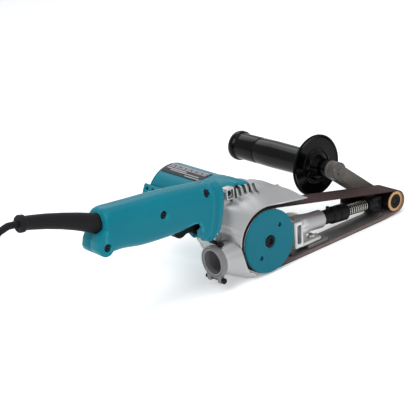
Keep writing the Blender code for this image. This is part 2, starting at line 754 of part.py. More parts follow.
# The handle from its rear end to the joint: (x, bottom, top, half width, lean)
HANDLE_SECTIONS = [
    (-196.5, 56.0, 86.0, 13.5, 0.16),
    (-194.5, 51.0, 90.0, 16.0, 0.14),
    (-188.0, 49.0, 92.0, 16.8, 0.10),
    (-172.0, 48.3, 91.3, 17.2, 0.0),
    (-150.0, 44.2, 89.5, 17.6, 0.0),
    (-122.0, 42.2, 87.3, 17.8, 0.0),
    (-100.0, 41.6, 84.6, 18.0, 0.0),
    (-86.0, 37.0, 82.0, 18.2, 0.1),
    (-77.0, 27.0, 80.0, 18.5, 0.2),
    (-68.0, 22.5, 78.5, 18.6, 0.24),
    (JOINT_X - GAP, 20.3, 77.5, 18.6, JOINT_LEAN),
]
LUG_X = -192.5
LUG_Z = 58.0
LUG_RADIUS = 8.3
LUG_Y = (-15.0, 13.5)
RING_POINTS = 24


def handle_ring(x, bottom, top, half_width, lean, inset=0.0):
    """A rounded rectangular section of the handle, all round its outline."""
    middle = (bottom + top) / 2
    tall, wide = (top - bottom) / 2 - inset, half_width - inset
    points = []
    for i in range(RING_POINTS):
        angle = math.tau * (i + 0.5) / RING_POINTS
        across = math.copysign(abs(math.cos(angle)) ** 0.72, math.cos(angle)) * wide
        up = math.copysign(abs(math.sin(angle)) ** 0.72, math.sin(angle)) * tall
        points.append((x + lean * (middle + up - JOINT_Z), across, middle + up))
    return points


def lug_blank():
    """The rounded lug under the rear end, running up into the rear face."""
    loop = arc((LUG_X, LUG_Z), LUG_RADIUS, math.radians(-178), math.radians(-8), 14)
    loop += [(-181.0, 58.0), (-181.0, 72.0), (-190.5, 76.0), (-194.5, 71.5), (-199.0, 64.5)]
    middle = (LUG_Y[0] + LUG_Y[1]) / 2
    return outline_part("lug_blank", [loop], LUG_Y[1] - LUG_Y[0], "teal", (0, middle, 0))


def handle_half(name, side):
    """One moulded half of the handle: side is -1 for the right half and +1 for the left."""
    outer = loft(name, [handle_ring(*section) for section in HANDLE_SECTIONS], "teal")
    boolean(outer, lug_blank(), "UNION")
    inside = [handle_ring(*section, inset=HANDLE_WALL) for section in HANDLE_SECTIONS[2:]]
    last = HANDLE_SECTIONS[-1]
    ahead = (last[0] + 5.0, *last[1:])
    inside.append(handle_ring(*ahead, inset=HANDLE_WALL))
    boolean(outer, loft("handle_hollow", inside, "teal"))
    if side > 0:
        half_space = box("half_space", (-260, -80, -40), (0, GAP / 2, 140), "teal")
    else:
        half_space = box("half_space", (-260, -GAP / 2, -40), (0, 80, 140), "teal")
    boolean(outer, half_space)
    entry = rod("cord_entry", 9.2 + GAP, 40.0, "teal", CORD_START, CORD_ROTATION, sides=24)
    entry.location = (Vector(CORD_START) - Vector(CORD_DIRECTION) * 14.0) * MM
    boolean(outer, entry)
    boolean(outer, box("trigger_slot", (-112.0, -6.3, 20.0), (-72.5, 6.3, 52.0), "teal"))
    return outer


HANDLE_SCREWS = {
    "rear": (-191.8, 15.0, 58.2), "middle": (-127.6, 17.6, 70.0), "front": (-72.2, 15.4, 73.4),
}  # fmt: skip


def make_handle():
    right = handle_half("handle_right", -1)
    left = handle_half("handle_left", 1)
    for place_name, (x, depth, z) in HANDLE_SCREWS.items():
        recess = rod("screw_recess", 3.9, 14.0, "teal", (x, -depth - 10.0, z), sides=16)
        boolean(right, recess)
        profile = [(0, 1.5), (1.3, 1.5), (3.5, 0.6), (3.5, -0.8), (0, -0.8)]
        place = (x, -depth + 2.0, z)
        turned(f"handle_screw_{place_name}", profile, "black_steel", place, steps=14)
    dial = rod("dial_slot", 9.4, 9.0, "teal", (-166.0, 10.0, 71.0), sides=28)
    boolean(left, dial)
    boolean(left, rod("lock_hole", 4.3, 20.0, "teal", (-112.0, 8.0, 60.0), sides=20))
    box("switch_body", (-118.0, -8.5, 55.5), (-84.0, 7.0, 74.0), "black_plastic", bevel=0.8)


TRIGGER_PIVOT = (-74.0, 0.0, 45.0)


def make_trigger():
    """The trigger blade, drawn in (x, z) round its pivot, with a finger hollow."""
    px, pz = TRIGGER_PIVOT[0], TRIGGER_PIVOT[2]
    blade = [
        (-109.3, 49.0), (-109.3, 43.5), (-107.5, 38.4), (-104.5, 35.4), (-101.8, 34.3), (-98.5, 34.8),
        (-95.0, 36.4), (-91.5, 36.8), (-88.0, 35.8), (-85.0, 33.6), (-82.0, 31.7), (-79.5, 31.0),
        (-77.0, 32.2), (-75.6, 36.0), (-73.2, 46.5), (-76.0, 49.5),
    ]  # fmt: skip
    loop = [(x - px, z - pz) for x, z in blade]
    trigger = outline_part("trigger", [loop], 11.4, "black_plastic", TRIGGER_PIVOT)
    add_bevel(trigger, 0.8, 2, 50)
    profile = [(0, 2.4), (3.2, 2.4), (3.9, 1.6), (3.9, -7.4), (0, -7.4)]
    turned("lock_button", profile, "black_plastic", (-112.0, 17.6, 60.0), steps=20)
    turned("speed_dial", [(0, 3.4), (8.4, 3.4), (9.0, 2.8), (9.0, -4.0), (0, -4.0)], "black_plastic",
           (-166.0, 15.4, 71.0), steps=28)  # fmt: skip


# ---------------------------------------------------------------- sanding arm

# Places along the arm's axis, from the pulley's centre
BOSS_END = 88.7
SPRING_FROM = 127.8
SPRING_TO = 157.0
SPRING_TURNS = 10
HEAD_FROM = 158.2


def make_arm_bracket():
    """The casting that carries the arm: a web in front of the pulley and a boss along the arm."""
    web = box("arm_bracket", (39.6, -12.0, -25.0), (52.0, 16.6, 4.8), "cast_aluminium", bevel=1.2)
    boolean(web, box("slot_window", (43.2, -20.0, -20.5), (49.6, -4.0, 0.4), "iron"))
    end = BOSS_END
    profile = [(0, end), (9.0, end), (9.8, end - 0.8), (9.8, 72.0), (11.6, 58.0), (12.0, 46.0), (0, 46.0)]
    boss = turned("boss_blank", profile, "cast_aluminium", rotation=ALONG_X, parent=ARM, steps=32)
    boolean(web, boss, "UNION")
    foot = box("foot_blank", (51.0, -9.0, -26.8), (80.0, 10.0, -23.2), "cast_aluminium", bevel=0.6)
    boolean(web, foot, "UNION")
    post = box("post_blank", (51.0, -3.0, -26.0), (62.0, 8.0, -12.0), "cast_aluminium", bevel=0.6)
    boolean(web, post, "UNION")
    boolean(web, rod("boss_bore", 6.2, 60.0, "iron", (64.0, 0, 0), ALONG_X, ARM, sides=24))
    boolean(web, rod("screw_hole", 2.3, 20.0, "iron", (72.0, -1.0, -36.0), (0, 0, 0), sides=14))
    profile = [(0, 3.0), (2.6, 3.0), (5.0, 1.2), (5.0, 0.0), (2.0, 0.0), (2.0, -3.8), (0, -3.8)]
    turned("shoe_screw", profile, "bright_steel", (72.0, -1.0, -22.9), (0, 0, 0), steps=20)
    return web


def make_arm_parts():
    first = BOSS_END + GAP
    profile = [(9.3, 112.0), (9.3, 104.0), (7.8, 103.0), (7.8, first), (6.2, first), (6.2, 112.0)]
    sleeve = turned("arm_sleeve", profile, "black_steel", rotation=ALONG_X, parent=ARM, steps=28, ring=True)
    boolean(sleeve, rod("release_hole", 2.0 + GAP, 8.0, "iron", (100.0, 0, 4.5), (0, 0, 0), ARM, sides=16))
    profile = [(8.0, 126.5), (9.3, 125.4), (9.3, 112.3), (6.2, 112.3), (6.2, 126.5)]
    turned("tracking_collar", profile, "black_steel", rotation=ALONG_X, parent=ARM, steps=28, ring=True)
    profile = [(0, 2.4), (1.5, 2.4), (2.0, 1.8), (2.0, -2.6), (0, -2.6)]
    turned("tension_release", profile, "black_steel", (100.0, 0, 8.9), (0, 0, 0), ARM, steps=12)
    points = []
    for i in range(SPRING_TURNS * 10 + 1):
        angle = math.tau * i / 10
        x = SPRING_FROM + (SPRING_TO - SPRING_FROM) * i / (SPRING_TURNS * 10)
        points.append((x, 5.6 * math.cos(angle), 5.6 * math.sin(angle)))
    wire("tension_spring", points, 0.75, "bright_steel", ARM, resolution=1)


def make_tension_arm():
    """The sliding rod, its head and the one-sided cheek that carries the idler's axle."""
    near = HEAD_FROM
    profile = [(0, 172.0), (7.6, 172.0), (8.0, 171.0), (8.0, near), (4.2, near), (4.2, 76.0), (0, 76.0)]
    arm = turned("tension_arm", profile, "black_steel", rotation=ALONG_X, parent=ARM, steps=24)
    block = box("head_blank", (163.0, -7.0, -8.0), (CENTRES - 15.0, 19.4, 8.0), "black_steel", ARM)
    boolean(arm, block, "UNION")
    loop = arc((CENTRES, 0), 9.5, -math.pi / 2, math.pi / 2, 12)
    loop += [(150.0, 8.6), (141.0, 7.6), (139.5, 6.6), (139.5, -5.0), (150.0, -8.0)]
    cheek = outline_part("cheek_blank", [loop], 3.8, "black_steel", (0, 17.9, 0), parent=ARM)
    boolean(arm, cheek, "UNION")
    boolean(arm, rod("axle_hole", 4.0 + GAP, 20.0, "iron", (CENTRES, 10, 0), parent=ARM, sides=20))
    profile = [(0, 26.8), (4.0, 26.8), (4.0, -11.8), (0, -11.8)]
    turned("idler_axle", profile, "black_steel", parent=IDLER, steps=20)
    rim = IDLER_RADIUS - GAP
    profile = [(rim - 0.5, 13.4), (rim, 12.6), (rim, -12.2), (4.3, -12.2), (4.3, 13.4)]
    turned("idler_pulley", profile, "black_steel", parent=IDLER, steps=32, ring=True)
    profile = [(rim, -12.5), (rim, -13.4), (8.3, -13.4), (8.3, -12.5)]
    turned("idler_ring", profile, "brass", parent=IDLER, steps=32, ring=True)
    return arm


def make_platen():
    """The pressed steel shoe: a flat sole with its front bent up and a foot at the back."""
    sheet = 1.2
    sole = -(DRIVE_RADIUS - GAP)
    front = IDLER_X - PLATEN_BACKSET
    outline = [
        (37.0, sole + 1.6), (40.0, sole), (front - 3.0, sole), (front + 5.5, sole + 3.6),
        (front + 5.0, sole + 3.6 + sheet), (front - 3.4, sole + sheet), (41.0, sole + sheet),
        (37.5, sole + 1.6 + sheet),
    ]  # fmt: skip
    platen = outline_part("platen", [outline], 22.0, "plate_steel", (0, 2.5, 0))
    upright = box("tab_blank", (60.0, -9.5, sole + 0.4), (90.0, 10.0, -27.4), "plate_steel")
    boolean(platen, upright, "UNION")
    return platen


# ---------------------------------------------------------------- side grip


def make_grip():
    dx, dz = GRIP_X - IDLER_X, GRIP_Z - IDLER_Z
    along = math.atan2(dz, dx)
    half_turn = math.pi / 2
    loop = arc((dx, dz), 10.0, along - half_turn, along + half_turn, 12)
    loop += arc((0, 0), 10.0, along + half_turn, along + 3 * half_turn, 12)
    holes = [circle((0, 0), 4.0 + GAP, 18), circle((dx, dz), 4.0 + GAP, 18)]
    middle = GRIP_PLATE_Y + GRIP_PLATE_THICKNESS / 2
    outline_part("grip_plate", [loop] + holes, GRIP_PLATE_THICKNESS, "plate_steel", (0, middle, 0),
                 parent=IDLER)  # fmt: skip
    place = (dx, 0, dz)
    plate_near, plate_far = GRIP_PLATE_Y, GRIP_PLATE_Y + GRIP_PLATE_THICKNESS
    profile = [
        (0, 62.0), (4.0, 62.0), (4.0, plate_near - 0.3), (9.4, plate_near - 0.3), (10.0, plate_near - 1.2),
        (10.0, 11.6), (9.2, 10.4), (3.4, 10.4), (3.4, 9.0), (0, 9.0),
    ]  # fmt: skip
    turned("grip_bolt", profile, "plate_steel", place, parent=IDLER, steps=28)
    nut = [(7.4, 29.2), (7.4, plate_far + 0.3), (5.0, plate_far + 0.3), (5.0, 29.2)]
    turned("axle_nut", nut, "bright_steel", parent=IDLER, steps=6, ring=True)
    end = GRIP_END_Y
    profile = [
        (0, end), (14.0, end), (16.8, end - 2.0), (17.5, end - 5.0), (17.3, end - 8.5), (15.4, end - 10.5),
        (15.4, end - 40.6), (14.6, end - 41.2), (14.6, end - 42.0), (15.4, end - 42.6), (15.6, 110.0),
        (15.0, GUARD_Y + 6.0), (17.0, GUARD_Y + 3.4), (33.6, GUARD_Y + 2.6), (34.5, GUARD_Y + 1.4),
        (34.5, GUARD_Y), (33.4, GUARD_Y - 0.8), (18.0, GUARD_Y + 0.2), (13.0, GUARD_Y - 1.0),
        (11.0, GUARD_Y - 6.0), (9.5, plate_far + 0.3), (4.3, plate_far + 0.3), (4.3, 63.0), (0, 63.0),
    ]  # fmt: skip
    turned("side_grip", profile, "black_plastic", place, parent=IDLER, steps=36)


# ---------------------------------------------------------------- cord

CORD_START = (-187.0, 0.0, 77.0)
CORD_DIRECTION = (-0.93, 0.0, 0.367)
CORD_ROTATION = Vector(CORD_DIRECTION).to_track_quat("Z", "Y").to_euler()

# The cord guard's middle line and radius, from inside the handle to its end flange
GUARD_LINE = [
    ((-181.0, 0.0, 74.8), 9.2), ((-187.0, 0.0, 77.0), 9.2), ((-197.0, 0.0, 81.2), 9.0),
    ((-211.0, 0.0, 87.0), 8.2), ((-226.0, 0.0, 92.4), 7.5), ((-242.0, 0.0, 97.4), 7.0),
    ((-257.0, 0.0, 101.3), 6.6), ((-263.5, 0.0, 102.7), 6.6), ((-265.0, 0.0, 103.0), 8.0),
    ((-270.5, 0.0, 104.1), 8.0),
]  # fmt: skip

# The free cord's route from the guard's end to the coil's outer turn, chosen by hand
CORD_ROUTE = [
    (-271.2, 0.0, 104.3), (-280.5, 0.1, 105.2), (-291.0, 0.4, 101.8), (-300.5, 0.4, 94.0),
    (-308.0, 0.3, 82.0), (-313.5, 0.0, 66.0), (-317.5, -0.4, 47.0), (-321.0, -1.0, 28.0),
    (-325.5, -2.0, 9.0), (-332.5, -4.0, -9.0), (-343.0, -6.5, -22.5), (-357.0, -8.0, -29.4),
    (-370.0, -7.6, -30.6), (-379.2, -4.8, -30.65), (-390.8, 1.3, -30.65), (-400.5, 10.2, -30.65),
    (-407.6, 21.3, -30.65), (-410.6, 29.5, -30.65),
]  # fmt: skip


def smooth_route(points, step):
    """Evenly spaced points on a Catmull-Rom curve through the route's points."""
    places = [Vector(point) for point in points]
    fine = []
    for i in range(len(places) - 1):
        before = places[max(i - 1, 0)]
        after = places[min(i + 2, len(places) - 1)]
        a, b = places[i], places[i + 1]
        for k in range(12):
            t = k / 12
            fine.append(
                0.5 * (2 * a + (b - before) * t + (2 * before - 5 * a + 4 * b - after) * t**2
                       + (3 * a - before - 3 * b + after) * t**3)
            )  # fmt: skip
    fine.append(places[-1])
    lengths = [0.0]
    for a, b in zip(fine, fine[1:]):
        lengths.append(lengths[-1] + (b - a).length)
    count = max(2, round(lengths[-1] / step))
    even = []
    position = 0
    for i in range(count + 1):
        wanted = lengths[-1] * i / count
        while position < len(fine) - 2 and lengths[position + 1] < wanted:
            position += 1
        t = (wanted - lengths[position]) / (lengths[position + 1] - lengths[position])
        even.append(fine[position].lerp(fine[position + 1], t))
    return even


def make_cord_guard():
    rings = []
    for (place, radius) in GUARD_LINE:
        points = []
        index = GUARD_LINE.index((place, radius))
        ahead = GUARD_LINE[min(index + 1, len(GUARD_LINE) - 1)][0]
        behind = GUARD_LINE[max(index - 1, 0)][0]
        along = (Vector(ahead) - Vector(behind)).normalized()
        side = Vector((0, 1, 0))
        up = along.cross(side)
        for i in range(18):
            angle = math.tau * i / 18
            points.append(Vector(place) + radius * (math.cos(angle) * side + math.sin(angle) * up))
        rings.append(points)
    loft("cord_guard", rings, "black_rubber")


def make_cord():
    wire("cord_lead", smooth_route(CORD_ROUTE, 15.0), CORD_DIAMETER / 2, "black_rubber", resolution=3)
    spread = COIL_WIDTH * CORD_DIAMETER / 2
    height = COIL_LAYERS * CORD_DIAMETER
    outer, inner = COIL_TURN_RADIUS + spread, COIL_TURN_RADIUS - spread
    soft = 1.6
    profile = [
        (outer - soft, height), (outer, height - soft), (outer, soft), (outer - soft, 0.0),
        (inner + soft, 0.0), (inner, soft), (inner, height - soft), (inner + soft, height),
    ]  # fmt: skip
    place = (*COIL_CENTRE, FLOOR_Z + 0.05)
    turned("cord_coil", profile, "black_rubber", place, (0, 0, 0), steps=32, ring=True)


def make_plug():
    profile = [
        (0, 44.0), (11.0, 44.0), (12.5, 42.5), (13.0, 38.0), (11.5, 30.0), (9.0, 20.0), (5.5, 14.0),
        (5.0, 0.0), (0, 0.0),
    ]  # fmt: skip
    start = Vector(PLUG_START)
    turned("plug_body", profile, "black_rubber", start, ALONG_X, steps=24)
    for side, name in ((-1, "a"), (1, "b")):
        place = start + Vector((44.3, 9.5 * side, 0))
        rod(f"plug_pin_{name}", 2.4, 19.0, "bright_steel", place, ALONG_X, sides=14)


# ---------------------------------------------------------------- build everything

make_belt()
make_drive_pulley()
make_gears()
make_gear_housing()
make_belt_cover()
make_nozzle()
make_motor_housing()
make_end_cover()
make_motor_works()
make_nameplate()
make_handle()
make_trigger()
make_arm_bracket()
make_arm_parts()
make_tension_arm()
make_platen()
make_grip()
make_cord_guard()
make_cord()
make_plug()
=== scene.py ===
"""Studio scene of a handheld narrow-belt sander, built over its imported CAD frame.

Detailed pieces are written in millimetres from the drive pulley's centre: +X forward along
the arm, +Y towards the motor, +Z up.  ORIGIN moves them into the frame, in metres.
"""

import json
import math

import bmesh
import bpy
from mathutils import Matrix, Vector


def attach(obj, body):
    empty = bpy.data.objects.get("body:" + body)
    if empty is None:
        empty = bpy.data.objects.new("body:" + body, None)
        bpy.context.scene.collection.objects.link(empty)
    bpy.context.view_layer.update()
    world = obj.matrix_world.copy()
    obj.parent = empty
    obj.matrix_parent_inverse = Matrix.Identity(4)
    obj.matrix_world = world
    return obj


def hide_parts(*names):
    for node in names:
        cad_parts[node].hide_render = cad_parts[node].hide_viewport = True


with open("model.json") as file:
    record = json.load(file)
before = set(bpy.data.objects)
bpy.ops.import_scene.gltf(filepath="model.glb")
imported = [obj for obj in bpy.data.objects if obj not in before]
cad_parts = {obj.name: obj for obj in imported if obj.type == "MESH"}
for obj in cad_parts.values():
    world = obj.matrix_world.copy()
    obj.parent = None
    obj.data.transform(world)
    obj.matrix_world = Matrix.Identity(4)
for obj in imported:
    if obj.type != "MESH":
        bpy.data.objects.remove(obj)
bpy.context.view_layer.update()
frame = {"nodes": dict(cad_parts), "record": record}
SLOT_OF = {entry["node"]: entry["material_slot"] for entry in frame["record"]["subparts"]}

MM = 0.001
ORIGIN = Vector((-85.0, 0.0, 34.0))
X_AXIS = Vector((1.0, 0.0, 0.0))
Y_AXIS = Vector((0.0, 1.0, 0.0))
Z_AXIS = Vector((0.0, 0.0, 1.0))

# Driving dimensions, the same as the CAD model's
BELT_HALF = 15.0
DRIVE_RADIUS = 33.0
IDLER_RADIUS = 11.8
ARM_TILT = math.radians(5.6)
CENTRES = 193.3406
PLATEN_BACKSET = 22.0
IDLER_X = CENTRES * math.cos(ARM_TILT)
IDLER_Z = -CENTRES * math.sin(ARM_TILT)
IDLER_CENTRE = Vector((IDLER_X, 0.0, IDLER_Z))
PIN_HOLE = 4.3
MOTOR_X = -17.505
MOTOR_Z = 28.122
MOTOR_CENTRE = (MOTOR_X, MOTOR_Z)
MOTOR_START = Vector((MOTOR_X, 0.0, MOTOR_Z))
BARREL_RADIUS = 34.0
BARREL_FRONT_Y = 41.3
BARREL_END_Y = 110.6
MOTOR_END_Y = 114.0
BRUSH_Y = 94.5
INTAKE_RADIUS = 40.5
INTAKE_DEGREES = (146.0, 204.5)
JOINT_X = -59.3
JOINT_Z = 42.0
JOINT_LEAN = 0.27
NOZZLE_Y = -4.3
NOZZLE_Z = -3.5
GRIP_X = 132.8
GRIP_Z = 28.7
CORD_DIAMETER = 6.6
FLOOR_Z = -34.0


# ---------------------------------------------------------------- camera, light and floor


def place(x, y, z):
    """A point in the frame, in metres, from millimetres about the drive pulley's centre."""
    return (Vector((x, y, z)) + ORIGIN) * MM


def make_camera():
    camera = bpy.data.cameras.new("camera")
    camera.lens = 107.77
    camera.sensor_width = 36.0
    camera.clip_start = 0.01
    item = bpy.data.objects.new("camera", camera)
    right = Vector((0.7565, -0.6471, -0.0947)).normalized()
    forward = Vector((0.5814, 0.7318, -0.3557)).normalized()
    up = right.cross(forward).normalized()
    right = forward.cross(up).normalized()
    turn = Matrix((right, up, -forward)).transposed()
    item.matrix_world = Matrix.Translation(place(-764.4, -885.7, 482.0)) @ turn.to_4x4()
    bpy.context.scene.collection.objects.link(item)
    bpy.context.scene.camera = item


def area_light(name, position, target, size, power):
    light = bpy.data.lights.new(name, "AREA")
    light.shape = "RECTANGLE"
    light.size, light.size_y = size
    light.energy = power
    item = bpy.data.objects.new(name, light)
    aim = Vector(target) - Vector(position)
    turn = aim.to_track_quat("-Z", "Y").to_matrix().to_4x4()
    item.matrix_world = Matrix.Translation(position) @ turn
    bpy.context.scene.collection.objects.link(item)


def make_studio():
    scene = bpy.context.scene
    scene.view_settings.view_transform = "Standard"
    world = bpy.data.worlds.new("studio")
    world.use_nodes = True
    background = world.node_tree.nodes["Background"]
    background.inputs["Color"].default_value = (0.93, 0.95, 0.97, 1.0)
    background.inputs["Strength"].default_value = 0.72
    scene.world = world
    middle = (0.0, 0.0, 0.05)
    area_light("key", (-0.9, -0.25, 1.0), middle, (0.5, 0.8), 6.5)
    area_light("side", (0.75, -1.1, 0.6), middle, (0.6, 0.5), 0.8)
    area_light("rim", (0.3, 1.1, 0.9), middle, (0.9, 0.5), 3.0)
    area_light("top", (0.1, -0.1, 1.2), middle, (0.9, 0.6), 2.5)
    mesh = bpy.data.meshes.new("floor")
    half = 6.0
    corners = [(-half, -half, 0), (half, -half, 0), (half, half, 0), (-half, half, 0)]
    mesh.from_pydata([Vector(c) for c in corners], [], [(0, 1, 2, 3)])
    floor = bpy.data.objects.new("floor", mesh)
    floor.location.z = -0.0002
    scene.collection.objects.link(floor)
    paper = finish("floor", (0.93, 0.93, 0.93), 0.9, grain=(60.0, 0.01), patches=(4.0, 0.01), shine=0.0)
    shader = paper.node_tree.nodes["Principled BSDF"]
    shader.inputs["Emission Color"].default_value = (1.0, 1.0, 1.0, 1.0)
    shader.inputs["Emission Strength"].default_value = 0.25
    mesh.materials.append(paper)


# ---------------------------------------------------------------- materials


def finish(name, colour, roughness, metallic=0.0, grain=(900.0, 0.05), patches=(25.0, 0.08), wear=0.0,
           wear_colour=None, streaks=None, shine=0.3):
    """A surface with patchy colour, uneven gloss, a fine grain and a painted highlight on its sharp convex
    edges.

    grain and patches are (features per metre, strength); streaks stretches the grain along axes;
    shine is the strength of the mirror-like reflection.
    """
    material = bpy.data.materials.new(name)
    material.use_nodes = True
    nodes = material.node_tree.nodes
    link = material.node_tree.links.new
    shader = nodes["Principled BSDF"]
    shader.inputs["Metallic"].default_value = metallic
    shader.inputs["Specular IOR Level"].default_value = shine
    place_in = nodes.new("ShaderNodeTexCoord")
    stretch = nodes.new("ShaderNodeMapping")
    stretch.inputs["Scale"].default_value = streaks or (1.0, 1.0, 1.0)
    link(place_in.outputs["Object"], stretch.inputs["Vector"])

    cloud = nodes.new("ShaderNodeTexNoise")
    cloud.inputs["Scale"].default_value = patches[0]
    cloud.inputs["Detail"].default_value = 5.0
    link(place_in.outputs["Object"], cloud.inputs["Vector"])
    tint = nodes.new("ShaderNodeValToRGB")
    low, high = 1.0 - patches[1], 1.0 + patches[1]
    tint.color_ramp.elements[0].position = 0.3
    tint.color_ramp.elements[1].position = 0.7
    tint.color_ramp.elements[0].color = (*[min(1.0, c * low) for c in colour], 1.0)
    tint.color_ramp.elements[1].color = (*[min(1.0, c * high) for c in colour], 1.0)
    link(cloud.outputs["Fac"], tint.inputs["Fac"])
    base = tint.outputs["Color"]

    speck = nodes.new("ShaderNodeTexNoise")
    speck.inputs["Scale"].default_value = grain[0]
    speck.inputs["Detail"].default_value = 3.0
    speck.inputs["Roughness"].default_value = 0.6
    link(stretch.outputs["Vector"], speck.inputs["Vector"])

    # Painted highlight: sharp convex edges, found by pointiness, are mixed towards a lighter colour
    if wear > 0.0:
        shape = nodes.new("ShaderNodeNewGeometry")
        edge = nodes.new("ShaderNodeMapRange")
        edge.inputs["From Min"].default_value = 0.52
        edge.inputs["From Max"].default_value = 0.62
        edge.inputs["To Max"].default_value = wear
        link(shape.outputs["Pointiness"], edge.inputs["Value"])
        highlighted = nodes.new("ShaderNodeMix")
        highlighted.data_type = "RGBA"
        lighter = wear_colour or [min(1.0, c * 1.5 + 0.04) for c in colour]
        highlighted.inputs["B"].default_value = (*lighter, 1.0)
        link(edge.outputs["Result"], highlighted.inputs["Factor"])
        link(base, highlighted.inputs["A"])
        base = highlighted.outputs["Result"]
    link(base, shader.inputs["Base Color"])

    gloss = nodes.new("ShaderNodeMapRange")
    gloss.inputs["To Min"].default_value = max(0.02, roughness - 0.07)
    gloss.inputs["To Max"].default_value = min(1.0, roughness + 0.07)
    link(speck.outputs["Fac"], gloss.inputs["Value"])
    link(gloss.outputs["Result"], shader.inputs["Roughness"])

    bump = nodes.new("ShaderNodeBump")
    bump.inputs["Strength"].default_value = grain[1]
    bump.inputs["Distance"].default_value = 0.0004
    link(speck.outputs["Fac"], bump.inputs["Height"])
    link(bump.outputs["Normal"], shader.inputs["Normal"])
    return material


def make_materials():
    made = {}

    def make(name, colour, roughness, metallic=0.0, **settings):
        made[name] = finish(name, colour, roughness, metallic, **settings)

    # Each material's edge setting gives the strength and colour of a painted highlight on its convex edges
    make("teal_plastic", (0.002, 0.165, 0.22), 0.34, grain=(1400.0, 0.12), patches=(18.0, 0.06), wear=0.5,
         wear_colour=(0.03, 0.3, 0.37), shine=0.12)
    make("teal_face", (0.004, 0.145, 0.2), 0.42, grain=(1100.0, 0.08), patches=(30.0, 0.05), shine=0.12)
    make("cast_aluminium", (0.42, 0.42, 0.425), 0.36, 0.65, grain=(1600.0, 0.16), patches=(40.0, 0.05),
         wear=0.5, wear_colour=(0.88, 0.88, 0.87))
    make("nozzle_grey", (0.19, 0.185, 0.19), 0.4, 0.2, grain=(1300.0, 0.15), wear=0.4)
    make("black_plastic", (0.001, 0.001, 0.0015), 0.14, grain=(500.0, 0.03), patches=(40.0, 0.1), shine=0.13)
    make("black_moulding", (0.004, 0.004, 0.005), 0.45, grain=(1500.0, 0.12), shine=0.08)
    make("cord_rubber", (0.012, 0.0115, 0.013), 0.5, grain=(1200.0, 0.08), shine=0.08)
    make("black_steel", (0.005, 0.005, 0.006), 0.36, grain=(900.0, 0.1), wear=0.4,
         wear_colour=(0.05, 0.05, 0.055), shine=0.12)
    make("bright_steel", (0.62, 0.6, 0.56), 0.26, 1.0, grain=(900.0, 0.06), patches=(120.0, 0.1))
    make("plate_steel", (0.1, 0.088, 0.08), 0.4, 0.45, grain=(700.0, 0.1), patches=(60.0, 0.1),
         streaks=(1.0, 1.0, 5.0), wear=0.5, wear_colour=(0.42, 0.37, 0.32))
    make("platen_steel", (0.14, 0.135, 0.13), 0.45, 0.5, grain=(500.0, 0.12), patches=(30.0, 0.12),
         streaks=(0.15, 4.0, 1.0), wear=0.4)
    make("gear_steel", (0.4, 0.4, 0.41), 0.35, 1.0, wear=0.5)
    make("bearing_steel", (0.6, 0.6, 0.6), 0.2, 1.0)
    make("abrasive_cloth", (0.042, 0.02, 0.02), 0.9, grain=(2600.0, 1.0), patches=(220.0, 0.3))
    make("belt_backing", (0.25, 0.2, 0.19), 0.9, grain=(1500.0, 0.5), patches=(160.0, 0.1),
         streaks=(1.0, 3.0, 1.0))
    make("brass", (0.5, 0.29, 0.13), 0.32, 0.6, grain=(700.0, 0.06), patches=(150.0, 0.12))
    make("copper", (0.6, 0.25, 0.13), 0.35, 1.0)
    make("lamination_iron", (0.1, 0.1, 0.1), 0.5, 0.8, streaks=(1.0, 30.0, 1.0))
    make("carbon", (0.02, 0.02, 0.02), 0.7)
    make("label_film", (0.006, 0.006, 0.009), 0.5, grain=(600.0, 0.03))
    make("label_print", (0.3, 0.3, 0.32), 0.4, grain=(600.0, 0.03))
    for name, node in frame["nodes"].items():
        for slot in node.material_slots:
            slot.material = made[SLOT_OF[name]]
    return made


# ---------------------------------------------------------------- making pieces


def add_piece(name, working, body, surface, replaced=(), smooth=35.0):
    """A piece from a bmesh in millimetres, riding on a CAD body and standing for CAD nodes."""
    bmesh.ops.translate(working, vec=ORIGIN, verts=working.verts)
    bmesh.ops.scale(working, vec=(MM, MM, MM), verts=working.verts)
    bmesh.ops.recalc_face_normals(working, faces=working.faces)
    mesh = bpy.data.meshes.new(name)
    working.to_mesh(mesh)
    working.free()
    mesh.shade_smooth()
    mesh.set_sharp_from_angle(angle=math.radians(smooth))
    piece = bpy.data.objects.new(name, mesh)
    bpy.context.scene.collection.objects.link(piece)
    mesh.materials.append(MADE[surface])
    if body:
        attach(piece, body)
        if replaced:
            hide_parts(*replaced)
    return piece


def settle(piece):
    """Replace a piece's mesh by its shape after its modifiers."""
    bpy.context.view_layer.update()
    graph = bpy.context.evaluated_depsgraph_get()
    mesh = bpy.data.meshes.new_from_object(piece.evaluated_get(graph))
    piece.modifiers.clear()
    piece.data = mesh
    return piece


def combine(piece, tools, operation="DIFFERENCE"):
    """Cut tools from a piece, or join them to it, and remove the tools."""
    for tool in tools:
        modifier = piece.modifiers.new("cut", "BOOLEAN")
        modifier.operation = operation
        modifier.solver = "EXACT"
        modifier.object = tool
    settle(piece)
    for tool in tools:
        mesh = tool.data
        bpy.data.objects.remove(tool)
        bpy.data.meshes.remove(mesh)
    return piece


def hollow(piece, thickness, inside):
    """Give an open skin a wall on its inner side, the side of a point inside it."""
    wall = piece.modifiers.new("wall", "SOLIDIFY")
    wall.thickness = thickness * MM
    face = piece.data.polygons[len(piece.data.polygons) // 2]
    outward = (face.center - place(*inside)).dot(face.normal) > 0
    wall.offset = -1.0 if outward else 1.0
    settle(piece)


def round_edges(piece, width, segments=2, angle=38.0):
    modifier = piece.modifiers.new("bevel", "BEVEL")
    modifier.width = width * MM
    modifier.segments = segments
    modifier.limit_method = "ANGLE"
    modifier.angle_limit = math.radians(angle)
    modifier.harden_normals = True
    return settle(piece)


def reshade(piece, angle=35.0):
    piece.data.shade_smooth()
    piece.data.set_sharp_from_angle(angle=math.radians(angle))
    return piece


